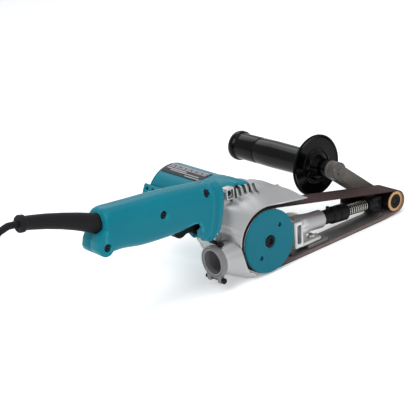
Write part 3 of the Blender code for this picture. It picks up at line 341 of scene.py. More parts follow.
def fillet(points, radius, closed=True, steps=4):
    """Round the corners of a 2D outline, with a smaller radius where its sides are short."""
    count = len(points)
    rounded = []
    for i, point in enumerate(points):
        if not closed and i in (0, count - 1):
            rounded.append(point)
            continue
        corner = Vector(point)
        to_last = Vector(points[i - 1]) - corner
        to_next = Vector(points[(i + 1) % count]) - corner
        turn = to_last.angle(to_next, math.pi)
        if turn > math.radians(172) or turn < math.radians(8):
            rounded.append(point)
            continue
        reach = min(radius / math.tan(turn / 2), 0.45 * to_last.length, 0.45 * to_next.length)
        start = corner + to_last.normalized() * reach
        end = corner + to_next.normalized() * reach
        for k in range(steps + 1):
            t = k / steps
            spot = start * (1 - t) ** 2 + corner * 2 * t * (1 - t) + end * t**2
            rounded.append((spot.x, spot.y))
    return rounded


def turned_mesh(profile, start, axis, steps=72, closed=False):
    """A bmesh of a (radius, height) profile turned about an axis through start."""
    axis = Vector(axis).normalized()
    side = axis.orthogonal().normalized()
    if abs(axis.y) > 0.9:
        side = X_AXIS.copy()
    other = axis.cross(side)
    working = bmesh.new()
    rings = []
    for radius, height in profile:
        middle = Vector(start) + axis * height
        if radius < 1e-6:
            rings.append([working.verts.new(middle)])
            continue
        ring = []
        for i in range(steps):
            angle = math.tau * i / steps
            offset = side * math.cos(angle) + other * math.sin(angle)
            ring.append(working.verts.new(middle + offset * radius))
        rings.append(ring)
    pairs = list(zip(rings, rings[1:]))
    if closed:
        pairs.append((rings[-1], rings[0]))
    for near, far in pairs:
        for i in range(steps):
            j = (i + 1) % steps
            if len(near) == 1 and len(far) == 1:
                continue
            if len(near) == 1:
                working.faces.new((near[0], far[i], far[j]))
            elif len(far) == 1:
                working.faces.new((near[i], near[j], far[0]))
            else:
                working.faces.new((near[i], near[j], far[j], far[i]))
    return working


def turned(name, profile, start, axis, body, surface, replaced=(), steps=72, rounding=0.5, closed=False):
    """A turned piece; its profile runs from the axis round to the axis, or is closed on itself."""
    profile = fillet(profile, rounding, closed=closed, steps=3)
    working = turned_mesh(profile, start, axis, steps, closed)
    return add_piece(name, working, body, surface, replaced)


def plate_mesh(outline, centre, along, up, depth):
    """A bmesh of an outline drawn along two directions and given an even depth between them."""
    along, up = Vector(along), Vector(up)
    across = along.cross(up).normalized()
    working = bmesh.new()
    near, far = [], []
    for u, v in outline:
        spot = Vector(centre) + along * u + up * v
        near.append(working.verts.new(spot - across * depth / 2))
        far.append(working.verts.new(spot + across * depth / 2))
    working.faces.new(near)
    working.faces.new(list(reversed(far)))
    count = len(outline)
    for i in range(count):
        j = (i + 1) % count
        working.faces.new((near[i], far[i], far[j], near[j]))
    return working


def plate(name, outline, centre, along, up, depth, body, surface, replaced=(), bevel=0.4):
    working = plate_mesh(outline, centre, along, up, depth)
    piece = add_piece(name, working, body, surface, replaced)
    if bevel:
        round_edges(piece, bevel)
    return piece


def side_plate(name, outline, low_y, high_y, body, surface, replaced=(), bevel=0.4):
    """A plate whose outline is drawn in (x, z), from one y to another."""
    middle = (0, (low_y + high_y) / 2, 0)
    return plate(name, outline, middle, X_AXIS, Z_AXIS, high_y - low_y, body, surface, replaced, bevel)


def block(name, centre, size, turn=None, body=None, surface="black_moulding", bevel=0.0, replaced=()):
    """A block turned by a matrix about its centre."""
    working = bmesh.new()
    bmesh.ops.create_cube(working, size=1.0)
    bmesh.ops.scale(working, vec=Vector(size), verts=working.verts)
    if bevel:
        bmesh.ops.bevel(working, geom=working.edges, offset=bevel, segments=3, affect="EDGES", profile=0.5)
    if turn is not None:
        bmesh.ops.transform(working, matrix=turn.to_4x4(), verts=working.verts)
    bmesh.ops.translate(working, vec=Vector(centre), verts=working.verts)
    return add_piece(name, working, body, surface, replaced)


def cutter(centre, size, turn=None, bevel=0.0):
    """A block that shapes a piece and is then removed."""
    return block("tool", centre, size, turn, bevel=bevel)


def plate_tool(outline, low_y, high_y, bevel=0.0):
    """A plate that shapes a piece and is then removed."""
    return side_plate("tool", outline, low_y, high_y, None, "black_moulding", (), bevel)


def rod(start, axis, radius, length, steps=40):
    """A round bar that shapes a piece and is then removed."""
    profile = [(0, 0), (radius, 0), (radius, length), (0, length)]
    return add_piece("tool", turned_mesh(profile, start, axis, steps), None, "black_moulding")


def arc(centre, radius, start, end, steps):
    """Points on an arc between two angles in degrees."""
    points = []
    for i in range(steps + 1):
        angle = math.radians(start + (end - start) * i / steps)
        points.append((centre[0] + radius * math.cos(angle), centre[1] + radius * math.sin(angle)))
    return points


def turn_about_y(degrees):
    """Turns +X towards +Z by an angle, about the Y axis."""
    return Matrix.Rotation(-math.radians(degrees), 3, "Y")


def skin(name, rows, body, surface, replaced=(), close_rows=True, cap_first=True, cap_last=True,
         smooth=35.0):
    """A surface through rows of equally many points, closed at both ends unless told otherwise."""
    working = bmesh.new()
    grid = [[working.verts.new(point) for point in row] for row in rows]
    count = len(grid[0])
    for near, far in zip(grid, grid[1:]):
        for i in range(count if close_rows else count - 1):
            j = (i + 1) % count
            working.faces.new((near[i], near[j], far[j], far[i]))
    if cap_first:
        working.faces.new(grid[0])
    if cap_last:
        working.faces.new(grid[-1])
    return add_piece(name, working, body, surface, replaced, smooth)


def screw_head(name, spot, axis, radius, height, replaced=()):
    """A pan-head screw with a crossed recess, its head standing along the axis from spot."""
    profile = [(0, -1.0), (radius * 0.98, -1.0), (radius, height * 0.4), (radius * 0.8, height), (0, height)]
    screw = turned(name, profile, spot, axis, "machine", "black_steel", replaced, 36, 0.4)
    axis = Vector(axis).normalized()
    side = axis.orthogonal().normalized()
    basis = Matrix((side, axis.cross(side), axis)).transposed()
    top = Vector(spot) + axis * height
    wide, narrow, deep = radius * 1.25, radius * 0.24, height * 1.2
    combine(screw, [cutter(top, (wide, narrow, deep), basis), cutter(top, (narrow, wide, deep), basis)])
    return reshade(screw)


def wire(name, points, radius, surface, replaced):
    """A round wire or cable through points, fixed to the machine."""
    curve = bpy.data.curves.new(name, "CURVE")
    curve.dimensions = "3D"
    curve.bevel_depth = radius * MM
    curve.bevel_resolution = 4
    curve.use_fill_caps = True
    spline = curve.splines.new("POLY")
    spline.points.add(len(points) - 1)
    for point, spot in zip(spline.points, points):
        point.co = (*place(*spot), 1.0)
    spline.use_smooth = True
    item = bpy.data.objects.new(name, curve)
    bpy.context.scene.collection.objects.link(item)
    curve.materials.append(MADE[surface])
    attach(item, "machine")
    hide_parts(*replaced)
    return item


# ---------------------------------------------------------------- the cord

# Where the cord is not coiled, from the guard down to the floor
CORD_ROUTE = [
    (-271.2, 0.0, 104.3), (-280.5, 0.1, 105.2), (-291.0, 0.4, 101.8), (-300.5, 0.4, 94.0),
    (-308.0, 0.3, 82.0), (-313.5, 0.0, 66.0), (-317.5, -0.4, 47.0), (-321.0, -1.0, 28.0),
    (-325.5, -2.0, 9.0), (-332.5, -4.0, -9.0), (-343.0, -6.5, -22.5), (-357.0, -8.0, -29.4),
    (-370.0, -7.6, -30.6), (-379.2, -4.8, -30.65), (-390.8, 1.3, -30.65), (-400.5, 10.2, -30.65),
    (-405.0, 19.0, -30.6),
]
# From the last turn over the outer turns and down to the plug
PLUG_LEAD = [
    (-392.6, 50.0, -15.2), (-394.0, 58.0, -11.9), (-395.3, 66.0, -10.7), (-396.0, 74.0, -10.9),
    (-395.9, 82.0, -12.6), (-393.8, 90.0, -15.2), (-389.5, 97.5, -17.8), (-383.5, 103.0, -19.8),
    (-377.5, 105.6, -20.6), (-374.0, 106.0, -20.8),
]
COIL_CENTRE = Vector((-362.0, 42.5, 0.0))
COIL_START = 190.0
TURN_STEPS = 24
COIL_RADII = (42.9, 36.3, 29.7)


def spline_points(points, step):
    """Evenly spaced points on a Catmull-Rom curve through the given points."""
    places = [Vector(point) for point in points]
    fine = []
    for i in range(len(places) - 1):
        a, b = places[i], places[i + 1]
        before = places[max(i - 1, 0)]
        after = places[min(i + 2, len(places) - 1)]
        for k in range(12):
            t = k / 12
            curve = 2 * a + (b - before) * t + (2 * before - 5 * a + 4 * b - after) * t**2
            fine.append(0.5 * (curve + (3 * a - before - 3 * b + after) * t**3))
    fine.append(places[-1])
    lengths = [0.0]
    for a, b in zip(fine, fine[1:]):
        lengths.append(lengths[-1] + (b - a).length)
    count = max(2, round(lengths[-1] / step))
    even = []
    position = 0
    for i in range(count + 1):
        wanted = lengths[-1] * i / count
        while position < len(fine) - 2 and lengths[position + 1] < wanted:
            position += 1
        t = (wanted - lengths[position]) / max(1e-9, lengths[position + 1] - lengths[position])
        even.append(fine[position].lerp(fine[position + 1], t))
    return even


def coil_points():
    """Turns wound inwards on the bottom layer, outwards on the next and inwards on the last."""
    turns = []
    for layer in range(3):
        height = FLOOR_Z + CORD_DIAMETER * (layer + 0.5) + 0.06
        for radius in COIL_RADII if layer % 2 == 0 else reversed(COIL_RADII):
            turns.append((radius, height))
    points = []
    for i in range(len(turns) * TURN_STEPS):
        turn, step = divmod(i, TURN_STEPS)
        radius, height = turns[turn]
        later = turns[min(turn + 1, len(turns) - 1)]
        blend = max(0.0, (step / TURN_STEPS - 0.75) / 0.25)
        blend = blend * blend * (3 - 2 * blend)
        radius += (later[0] - radius) * blend
        height += (later[1] - height) * blend
        angle = math.radians(COIL_START - 360.0 * i / TURN_STEPS)
        points.append(COIL_CENTRE + Vector((radius * math.cos(angle), radius * math.sin(angle), height)))
    return points


def make_cord():
    points = spline_points(CORD_ROUTE, 9.0) + coil_points() + [Vector(spot) for spot in PLUG_LEAD]
    cord = wire("mains_cord", points, CORD_DIAMETER / 2, "cord_rubber", ("cord_lead", "cord_coil"))


# The cord guard's middle line and thickness: (x, z, radius)
GUARD_LINE = [
    (-181.0, 74.8, 9.2), (-187.0, 77.0, 9.2), (-197.0, 81.2, 9.0), (-211.0, 87.0, 8.2),
    (-226.0, 92.4, 7.5), (-242.0, 97.4, 7.0), (-257.0, 101.3, 6.6), (-263.0, 102.6, 6.5),
    (-264.4, 102.9, 6.9), (-265.4, 103.1, 7.9), (-269.2, 103.9, 8.0), (-270.3, 104.1, 7.2),
]


def make_cord_guard():
    middles = [Vector((line[0], 0.0, line[1])) for line in GUARD_LINE]
    rows = []
    for i, middle in enumerate(middles):
        ahead = middles[min(i + 1, len(middles) - 1)]
        behind = middles[max(i - 1, 0)]
        up = (ahead - behind).normalized().cross(Y_AXIS)
        row = []
        for k in range(40):
            angle = math.tau * k / 40
            row.append(middle + GUARD_LINE[i][2] * (math.cos(angle) * Y_AXIS + math.sin(angle) * up))
        rows.append(row)
    skin("strain_relief", rows, "machine", "cord_rubber", ("cord_guard",), smooth=50.0)


# ---------------------------------------------------------------- belt and wheels


def belt_angles(drive_radius, idler_radius):
    """Where the belt leaves the drive wheel and meets the idler, and the x of its bend at the platen."""
    top = math.acos((drive_radius - idler_radius) / CENTRES) - ARM_TILT
    knee_x = IDLER_X - PLATEN_BACKSET
    rise = IDLER_Z + drive_radius
    reach = math.hypot(PLATEN_BACKSET, rise)
    front = math.atan2(rise, PLATEN_BACKSET) - math.asin(idler_radius / reach) - math.pi / 2
    return top, front, knee_x


def belt_line(offset):
    """The belt's closed line in (x, z) at a distance outside the wheels' surfaces."""
    drive, idler = DRIVE_RADIUS + offset, IDLER_RADIUS + offset
    top, front, knee_x = belt_angles(drive, idler)
    line = arc((0, 0), drive, math.degrees(top), 270.0, 60)
    straight = 24
    for i in range(1, straight + 1):
        line.append((knee_x * i / straight, -drive))
    line += arc((IDLER_X, IDLER_Z), idler, math.degrees(front), math.degrees(top), 24)
    first, last = line[0], line[-1]
    for i in range(1, straight):
        t = i / straight
        line.append((last[0] + (first[0] - last[0]) * t, last[1] + (first[1] - last[1]) * t))
    return line


def make_belt():
    """The abrasive loop: grain outside, woven cloth inside, with its outer edges worn down."""
    inner, outer = belt_line(0.0), belt_line(0.9)
    across = [-BELT_HALF, -14.7, -8.0, 0.0, 8.0, 14.7, BELT_HALF]
    working = bmesh.new()
    rings = []
    for (inner_x, inner_z), (outer_x, outer_z) in zip(inner, outer):
        ring = []
        for y in across:
            share = 0.88 if abs(y) == BELT_HALF else 1.0
            x = inner_x + (outer_x - inner_x) * share
            z = inner_z + (outer_z - inner_z) * share
            ring.append(working.verts.new((x, y, z)))
        for y in reversed(across):
            ring.append(working.verts.new((inner_x, y, inner_z)))
        rings.append(ring)
    count = len(rings[0])
    for i, ring in enumerate(rings):
        following = rings[(i + 1) % len(rings)]
        for k in range(count):
            j = (k + 1) % count
            face = working.faces.new((ring[k], ring[j], following[j], following[k]))
            face.material_index = 1 if len(across) <= k < count - 1 else 0
    belt = add_piece("sanding_belt", working, "machine", "abrasive_cloth", ("abrasive_belt",), 50.0)
    belt.data.materials.append(MADE["belt_backing"])


def make_drive_wheel():
    face_y = -19.0
    profile = [
        (6.6, -15.8), (33.0, -15.8), (33.2, -16.2), (33.2, -17.5), (32.3, -18.7), (31.2, face_y),
        (8.6, face_y), (7.6, face_y + 0.5), (6.6, face_y + 0.9),
    ]
    disc = turned("wheel_face", profile, (0, 0, 0), Y_AXIS, "drive_wheel", "teal_face", ("pulley_face",),
                  128, 0.3, True)
    holes = []
    for degrees in (45.0, 225.0):
        angle = math.radians(degrees)
        spot = (19.6 * math.cos(angle), -22.0, 19.6 * math.sin(angle))
        holes.append(rod(spot, Y_AXIS, 2.4, 10.0, 32))
    combine(disc, holes)
    reshade(disc, 10)
    screw = [(0, -15.1), (6.1, -15.1), (6.1, -18.0), (5.4, -18.6), (3.3, -18.6), (3.1, -16.8), (0, -16.8)]
    turned("wheel_screw", screw, (0, 0, 0), Y_AXIS, "drive_wheel", "black_steel", ("pulley_screw",), 48, 0.3)


# ---------------------------------------------------------------- castings

# The casting behind the belt: (degrees round the drive wheel, radius)
BACK_OUTLINE = [
    (-72, 33.0), (-41, 39.7), (-16, 43.7), (15, 45.6), (39, 51.2), (68, 57.6), (84, 57.4),
    (100, 58.5), (115, 63.0), (131, 74.0), (145, 70.0), (155, 60.0), (163, 54.4), (173, 48.5),
    (183, 44.0), (200, 40.5), (219, 38.0), (244, 34.4), (262, 32.2), (275, 32.0),
]
# The cover across the belt: (y, height over the wheel at the back, x of its front edge)
COVER_SECTION = [
    (-17.0, 5.0, 57.0), (-15.6, 6.0, 54.3), (-13.0, 8.0, 50.5), (-9.0, 10.8, 47.0), (-5.0, 13.0, 44.3),
    (-1.0, 14.8, 40.5), (2.5, 16.0, 38.0), (4.0, 17.0, 37.5), (4.5, 18.2, 37.3), (6.3, 22.6, 36.7),
    (7.0, 23.9, 36.4), (8.5, 24.7, 36.0), (16.6, 25.3, 35.0),
]
# Beyond this y the cover's top falls towards the front instead of rising with the belt
STEP_Y = 6.0
VENT_PLACES = [(-26.4, 51.6), (-20.3, 53.6), (-14.1, 54.3), (-7.7, 54.1), (-1.3, 53.1), (4.9, 51.3)]
LIP_DEGREES = 233.7
TIP_RISE = 2.7
TIP_X = COVER_SECTION[0][2]


def back_radius(degrees):
    """Radius of the casting behind the belt, smoothly between the outline's points."""
    degrees %= 360.0
    points = sorted((a % 360.0, r) for a, r in BACK_OUTLINE)
    points = [(points[-1][0] - 360.0, points[-1][1])] + points + [(points[0][0] + 360.0, points[0][1])]
    for (a0, r0), (a1, r1) in zip(points, points[1:]):
        if a0 <= degrees <= a1:
            t = (degrees - a0) / (a1 - a0)
            t = t * t * (3 - 2 * t)
            return r0 + (r1 - r0) * t
    return points[0][1]


def case_radius(degrees):
    """Radius of the gear case, which stands a little lower than the belt cover on top."""
    rise = min(1.0, max(0.0, (degrees - 35.0) / 15.0))
    fall = min(1.0, max(0.0, (118.0 - degrees) / 18.0))
    return back_radius(degrees) - 4.4 * min(rise, fall)


def front_fall(x):
    """How far the top of the casting has come down at a place in front of the wheel."""
    return 0.22 * max(0.0, min(x, 26.7) - 11.9) + 0.376 * max(0.0, x - 26.7)


def top_run_height(x):
    """Height of the belt's top run above the drive wheel's centre."""
    top = belt_angles(DRIVE_RADIUS, IDLER_RADIUS)[0]
    return (DRIVE_RADIUS - x * math.cos(top)) / math.sin(top)


def cover_row(across, height, tip_x):
    """The cover's edge at one distance across the belt, from the lower lip to the front tip."""
    top = math.degrees(belt_angles(DRIVE_RADIUS, IDLER_RADIUS)[0])
    lowest, highest = COVER_SECTION[0][1], COVER_SECTION[-1][1]
    share = (height - lowest) / (highest - lowest)
    near_radius = DRIVE_RADIUS + lowest
    row = []
    steps = 84
    for i in range(steps + 1):
        degrees = LIP_DEGREES + (top - LIP_DEGREES) * i / steps
        radius = near_radius + max(0.0, back_radius(degrees) - near_radius) * share
        angle = math.radians(degrees)
        row.append((radius * math.cos(angle), across, radius * math.sin(angle)))
    last_x = row[-1][0]
    last_height = row[-1][2] - top_run_height(last_x)
    for i in range(1, 13):
        share = i / 12
        x = last_x + (tip_x - last_x) * share
        rise = TIP_RISE * max(0.0, x - last_x) / (TIP_X - last_x)
        if across > STEP_Y:
            rise = -front_fall(x)
        row.append((x, across, top_run_height(x) + last_height + rise))
    return row


def motor_sector(inner, outer, start, end, low_y, high_y, steps=40):
    """A tool shaped as part of a ring round the motor's axis."""
    outline = arc(MOTOR_CENTRE, outer, start, end, steps) + arc(MOTOR_CENTRE, inner, end, start, steps)
    return plate_tool(outline, low_y, high_y)


def skirt_space():
    """A tool for the room that the motor's skirt takes in the castings."""
    return motor_sector(34.1, 80.0, 75.0, 176.0, 1.7, 50.0)


def joint_block():
    """A tool that takes away what lies behind the slanting joint with the handle."""
    lean = math.atan(JOINT_LEAN)
    centre = Vector((JOINT_X, 10.0, JOINT_Z)) - X_AXIS * 40.0 / math.cos(lean)
    return cutter(centre, (80.0, 140.0, 200.0), Matrix.Rotation(lean, 3, "Y"))


def make_belt_cover():
    rows = [cover_row(*section) for section in COVER_SECTION]
    cover = skin("wheel_cover", rows, "machine", "cast_aluminium", ("belt_cover",), False, False, False,
                 40.0)
    hollow(cover, 2.2, (0, 0, 0))
    round_edges(cover, 0.5, 2, 50.0)
    duct = skin("tool", duct_rows(0.3, 32.0), None, "cast_aluminium")
    combine(cover, [skirt_space(), joint_block(), duct])
    leans = [turn_about_y(-14.0 + 3.0 * i) for i in range(len(VENT_PLACES))]
    slots = []
    for (x, z), lean in zip(VENT_PLACES, leans):
        slots.append(cutter((x, 4.0, z - 0.4), (3.9, 14.0, 9.8), lean, 1.3))
    combine(cover, slots)
    reshade(cover, 32)
    # A black block at the bottom of each vent slot: painted shade for the dark inside of the vents
    for (x, z), lean in zip(VENT_PLACES, leans):
        block("vent_painted_shade", (x, 10.6, z - 0.4), (3.6, 1.0, 9.4), lean, "machine", "black_moulding")
    x, y, z = -31.0, 3.6, 57.0
    boss = block("screw_boss", (x, y, z), (10.5, 9.0, 12.5), None, "machine", "cast_aluminium", 1.4)
    combine(boss, [cutter((x - 0.4, y - 4.5, z), (7.4, 7.0, 9.0), bevel=1.4)])
    reshade(boss)
    screw_head("boss_screw", (x - 0.4, y - 0.8, z), -Y_AXIS, 2.9, 1.8)


# The dust duct from its mouth to the wheel cover: (x, centre height, half width, half height)
DUCT_SECTIONS = [
    (-65.4, NOZZLE_Z, 14.3, 14.3), (-59.3, NOZZLE_Z, 14.3, 14.3), (-59.0, NOZZLE_Z, 15.2, 15.2),
    (-55.0, -4.1, 15.2, 15.9), (-50.0, -5.2, 15.4, 17.2), (-44.0, -6.7, 15.5, 18.7),
    (-38.0, -8.2, 15.6, 20.2), (-22.0, -12.2, 15.8, 24.2),
]


def duct_rows(grow, lead=0.0):
    """The duct's rings, grown outwards, with the first one moved back by a lead."""
    rows = []
    for i, (x, middle, wide, tall) in enumerate(DUCT_SECTIONS):
        row = []
        for k in range(72):
            angle = math.tau * k / 72
            across = NOZZLE_Y + (wide + grow) * math.cos(angle)
            row.append((x - (lead if i == 0 else 0.0), across, middle + (tall + grow) * math.sin(angle)))
        rows.append(row)
    return rows


def make_gear_case():
    outline = []
    for i in range(120):
        angle = math.radians(3.0 * i)
        radius = case_radius(3.0 * i)
        outline.append((radius * math.cos(angle), radius * math.sin(angle)))
    shells = (("gear_case", 17.0, 36.4, "gear_housing"), ("gear_lid", 36.9, 41.0, "gear_cover"))
    for name, near, far, node in shells:
        case = side_plate(name, outline, near, far, "machine", "cast_aluminium", (node,), 0.9)
        tools = [skirt_space(), joint_block()]
        if name == "gear_case":
            tools.append(rod((0, 20.0, 0), Y_AXIS, 30.0, 30.0, 64))
            tools.append(rod((MOTOR_X, 20.0, MOTOR_Z), Y_AXIS, 20.0, 30.0, 48))
        tools.append(rod((0, 0, 0), Y_AXIS, 11.3, 60.0, 48))
        tools.append(rod((MOTOR_X, 30.0, MOTOR_Z), Y_AXIS, 9.0, 30.0, 40))
        combine(case, tools)
        reshade(case)
    for degrees, radius in ((20, 40.5), (318, 36.4)):
        angle = math.radians(degrees)
        spot = (radius * math.cos(angle), 41.0, radius * math.sin(angle))
        screw_head(f"lid_screw_{degrees}", spot, Y_AXIS, 2.6, 1.6)


def make_duct():
    duct = skin("dust_spout", duct_rows(0.0), "machine", "cast_aluminium", ("dust_nozzle",))
    bore = skin("tool", duct_rows(-1.9, 10.0), None, "nozzle_grey")
    combine(duct, [rod((0, -30.0, 0), Y_AXIS, 37.4, 60.0, 96), bore])
    reshade(duct)
    duct.data.materials.append(MADE["nozzle_grey"])
    middle = place(0.0, NOZZLE_Y, NOZZLE_Z)
    mouth_x = place(-65.2, 0, 0).x
    for face in duct.data.polygons:
        toward = middle - face.center
        toward.x = 0.0
        if toward.dot(face.normal) > 0.3 * toward.length or face.center.x < mouth_x:
            face.material_index = 1


def make_duct_clamp():
    profile = [(14.6, 0.9), (15.2, 0.0), (16.2, 0.0), (16.6, 0.5), (16.6, 6.1), (16.1, 6.6), (14.6, 6.6)]
    start = Vector((-66.0, NOZZLE_Y, NOZZLE_Z))
    ring = turned("spout_clamp", profile, start, X_AXIS, "machine", "nozzle_grey", ("nozzle_clamp",), 96,
                  0.2, True)
    screw_x, screw_z = -62.7, NOZZLE_Z - 18.0
    ears = []
    for low, high in ((-10.2, -4.6), (5.6, 11.0)):
        middle = (screw_x, NOZZLE_Y + (low + high) / 2, screw_z + 1.6)
        ear = cutter(middle, (5.4, high - low, 9.6), None, 1.0)
        ears.append(combine(ear, [rod(start - X_AXIS * 5, X_AXIS, 14.6, 20.0, 96)]))
    combine(ring, ears, "UNION")
    combine(ring, [rod((screw_x, NOZZLE_Y - 20, screw_z), Y_AXIS, 1.8, 40.0, 24)])
    reshade(ring)
    profile = [(0, 13.6), (2.4, 13.6), (2.6, 13.2), (2.6, 11.3), (1.5, 11.3), (1.5, -10.5), (3.0, -10.5),
               (3.0, -12.8), (2.4, -13.4), (0, -13.4)]
    turned("spout_screw", profile, (screw_x, NOZZLE_Y, screw_z), Y_AXIS, "machine", "black_steel",
           ("clamp_screw",), 32, 0.2)


def make_joint_bolt():
    """The bolt across the top of the duct, with its head towards the belt side."""
    profile = [(0, 0), (2.0, 0), (2.0, 11.0), (1.2, 11.4), (1.2, 13.0), (2.7, 13.2), (2.7, 17.4),
               (2.2, 18.0), (0, 18.0)]
    turned("joint_bolt", profile, (-57.4, 6.0, 14.2), -Y_AXIS, "machine", "black_steel", (), 32, 0.2)


# ---------------------------------------------------------------- motor


def intake_outline(inner):
    """The raised panel over the air intake, drawn round the motor's axis."""
    start, end = INTAKE_DEGREES
    outline = arc(MOTOR_CENTRE, INTAKE_RADIUS, start, end, 30) + arc(MOTOR_CENTRE, inner, end, start, 30)
    return fillet(outline, 3.5)


def make_skirt():
    """The part of the motor's casing that reaches over the castings, longest near the vents."""
    steps, first, last = 56, 77.0, 174.5
    rows = []
    for i in range(steps + 1):
        angle = math.radians(first + (last - first) * i / steps)
        near = 2.0 if i > 10 else (-2.6 if i < 8 else -2.6 + 4.6 * (i - 7) / 3)
        line = [(36.0, near), (36.6, near + 1.0), (36.6, 24.0), (35.8, 33.0), (34.7, 43.0), (34.3, 44.5),
                (32.7, 44.5), (33.0, 42.0), (34.4, 30.0), (34.4, near)]
        rows.append([(MOTOR_X + r * math.cos(angle), y, MOTOR_Z + r * math.sin(angle)) for r, y in line])
    return skin("tool", rows, None, "teal_plastic")


def make_barrel():
    front, back, radius = BARREL_FRONT_Y, BARREL_END_Y - 0.2, BARREL_RADIUS
    profile = [
        (8.0, front), (34.9, front), (34.6, front + 1.6), (34.1, front + 4.5), (radius, front + 8.0),
        (radius, back), (31.2, back), (31.2, front + 6.0), (8.0, front + 6.0),
    ]
    barrel = turned("motor_barrel", profile, MOTOR_START, Y_AXIS, "machine", "teal_plastic",
                    ("motor_housing",), 96, 0.5, True)
    combine(barrel, [make_skirt(), plate_tool(intake_outline(32.5), 66.0, back)], "UNION")
    combine(barrel, [motor_sector(33.4, 36.0, 144.6, 145.9, 66.0, BARREL_END_Y + 2.0, 2)])
    tools = []
    for degrees in (153.0, 160.5, 168.0):
        direction = turn_about_y(degrees) @ X_AXIS
        for across in (77.5, 87.5, 97.5, 107.2):
            tools.append(rod(MOTOR_START + direction * 28.0 + Y_AXIS * across, direction, 2.1, 16.0, 20))
    for facing in (X_AXIS, -X_AXIS):
        tools.append(rod(MOTOR_START + facing * 22.0 + Y_AXIS * BRUSH_Y, facing, 5.9, 24.0, 32))
    combine(barrel, tools)
    round_edges(barrel, 0.45, 2, 45.0)
    reshade(barrel, 34)


def make_motor_cap():
    start, end, radius = BARREL_END_Y + 0.3, MOTOR_END_Y, BARREL_RADIUS
    profile = [
        (0, end - 0.3), (14.0, end - 0.3), (15.0, end), (30.0, end), (32.8, end - 0.7), (radius, end - 2.4),
        (radius, start), (10.3, start), (10.3, end - 7.5), (8.3, end - 7.5), (8.3, end - 2.4),
        (0, end - 2.4),
    ]
    cap = turned("motor_cap", profile, MOTOR_START, Y_AXIS, "machine", "teal_plastic", ("motor_end_cover",),
                 96, 0.6)
    combine(cap, [plate_tool(intake_outline(29.0), start, end - 0.8, 0.8)], "UNION")
    slots = []
    for i in range(16):
        turn = turn_about_y(22.5 * (i + 0.5))
        slots.append(cutter(MOTOR_START + turn @ X_AXIS * 21.5 + Y_AXIS * end, (10.0, 12.0, 2.2), turn, 0.9))
    combine(cap, slots)
    reshade(cap)
    for i in range(4):
        spot = MOTOR_START + turn_about_y(45.0 + 90.0 * i) @ X_AXIS * 29.0 + Y_AXIS * (end - 0.6)
        screw_head(f"cap_screw_{i + 1}", spot, Y_AXIS, 2.4, 0.6)


def make_brush_plugs():
    profile = [(0, 1.4), (4.4, 1.4), (5.4, 0.7), (5.5, -8.0), (0, -8.0)]
    for name, facing, radius in (("front", X_AXIS, BARREL_RADIUS), ("rear", -X_AXIS, INTAKE_RADIUS)):
        spot = MOTOR_START + facing * radius + Y_AXIS * BRUSH_Y
        plug = turned(f"brush_plug_{name}", profile, spot, facing, "machine", "black_moulding",
                      (f"brush_cap_{name}",), 40, 0.3)
        combine(plug, [cutter(spot + facing * 1.4, (2.0, 8.0, 1.3))])
        reshade(plug)


def make_nameplate():
    """A blank rating plate: a dark field with pale bars, and no lettering."""
    whole = arc(MOTOR_CENTRE, 34.75, 85.0, 114.5, 16) + arc(MOTOR_CENTRE, 34.3, 114.5, 85.0, 16)
    side_plate("rating_plate", whole, 45.4, 109.8, "machine", "label_film", ("nameplate",), 0.1)
    bands = [(96.8, 98.4, 47.5, 107.5), (86.5, 90.5, 47.5, 107.5), (110.2, 112.0, 50.0, 72.0)]
    bands += [(92.2, 95.2, 48.0 + 8.6 * i, 54.2 + 8.6 * i) for i in range(7)]
    bands += [(101.0, 103.6, 74.0, 106.0), (105.4, 107.4, 52.0, 98.0)]
    for i, (start, end, low, high) in enumerate(bands):
        field = arc(MOTOR_CENTRE, 34.95, start, end, 8) + arc(MOTOR_CENTRE, 34.5, end, start, 8)
        side_plate(f"rating_field_{i + 1}", field, low, high, "machine", "label_print", (), 0.0)


# ---------------------------------------------------------------- handle

# Along the handle: (x, bottom, top, half width, lean)
HANDLE_SECTIONS = [
    (-196.5, 56.0, 86.0, 13.5, 0.16),
    (-194.5, 51.0, 90.0, 16.0, 0.14),
    (-188.0, 49.0, 92.0, 16.8, 0.10),
    (-172.0, 48.3, 91.3, 17.2, 0.0),
    (-150.0, 44.2, 89.5, 17.6, 0.0),
    (-122.0, 42.2, 87.3, 17.8, 0.0),
    (-100.0, 41.6, 84.6, 18.0, 0.0),
    (-86.0, 37.0, 82.0, 18.2, 0.1),
    (-77.0, 27.0, 80.0, 18.5, 0.2),
    (-68.0, 22.5, 78.5, 18.6, 0.24),
    (-59.6, 20.3, 77.5, 18.6, 0.27),
]
# Each screw's place: (x, depth of its hole towards the belt side, z)
HANDLE_SCREWS = {"rear": (-191.8, 15.0, 58.2), "middle": (-127.6, 17.6, 70.0), "front": (-72.2, 15.4, 73.4)}
DIAL_CENTRE = Vector((-166.0, 15.4, 71.0))
LOCK_X, LOCK_Z = -112.0, 60.0
# Places along the handle whose section swells into a rib
RIBS = {-74.3: 0.9, -71.3: 0.9, -65.3: 0.8, -64.3: 0.8, -63.0: 0.8}


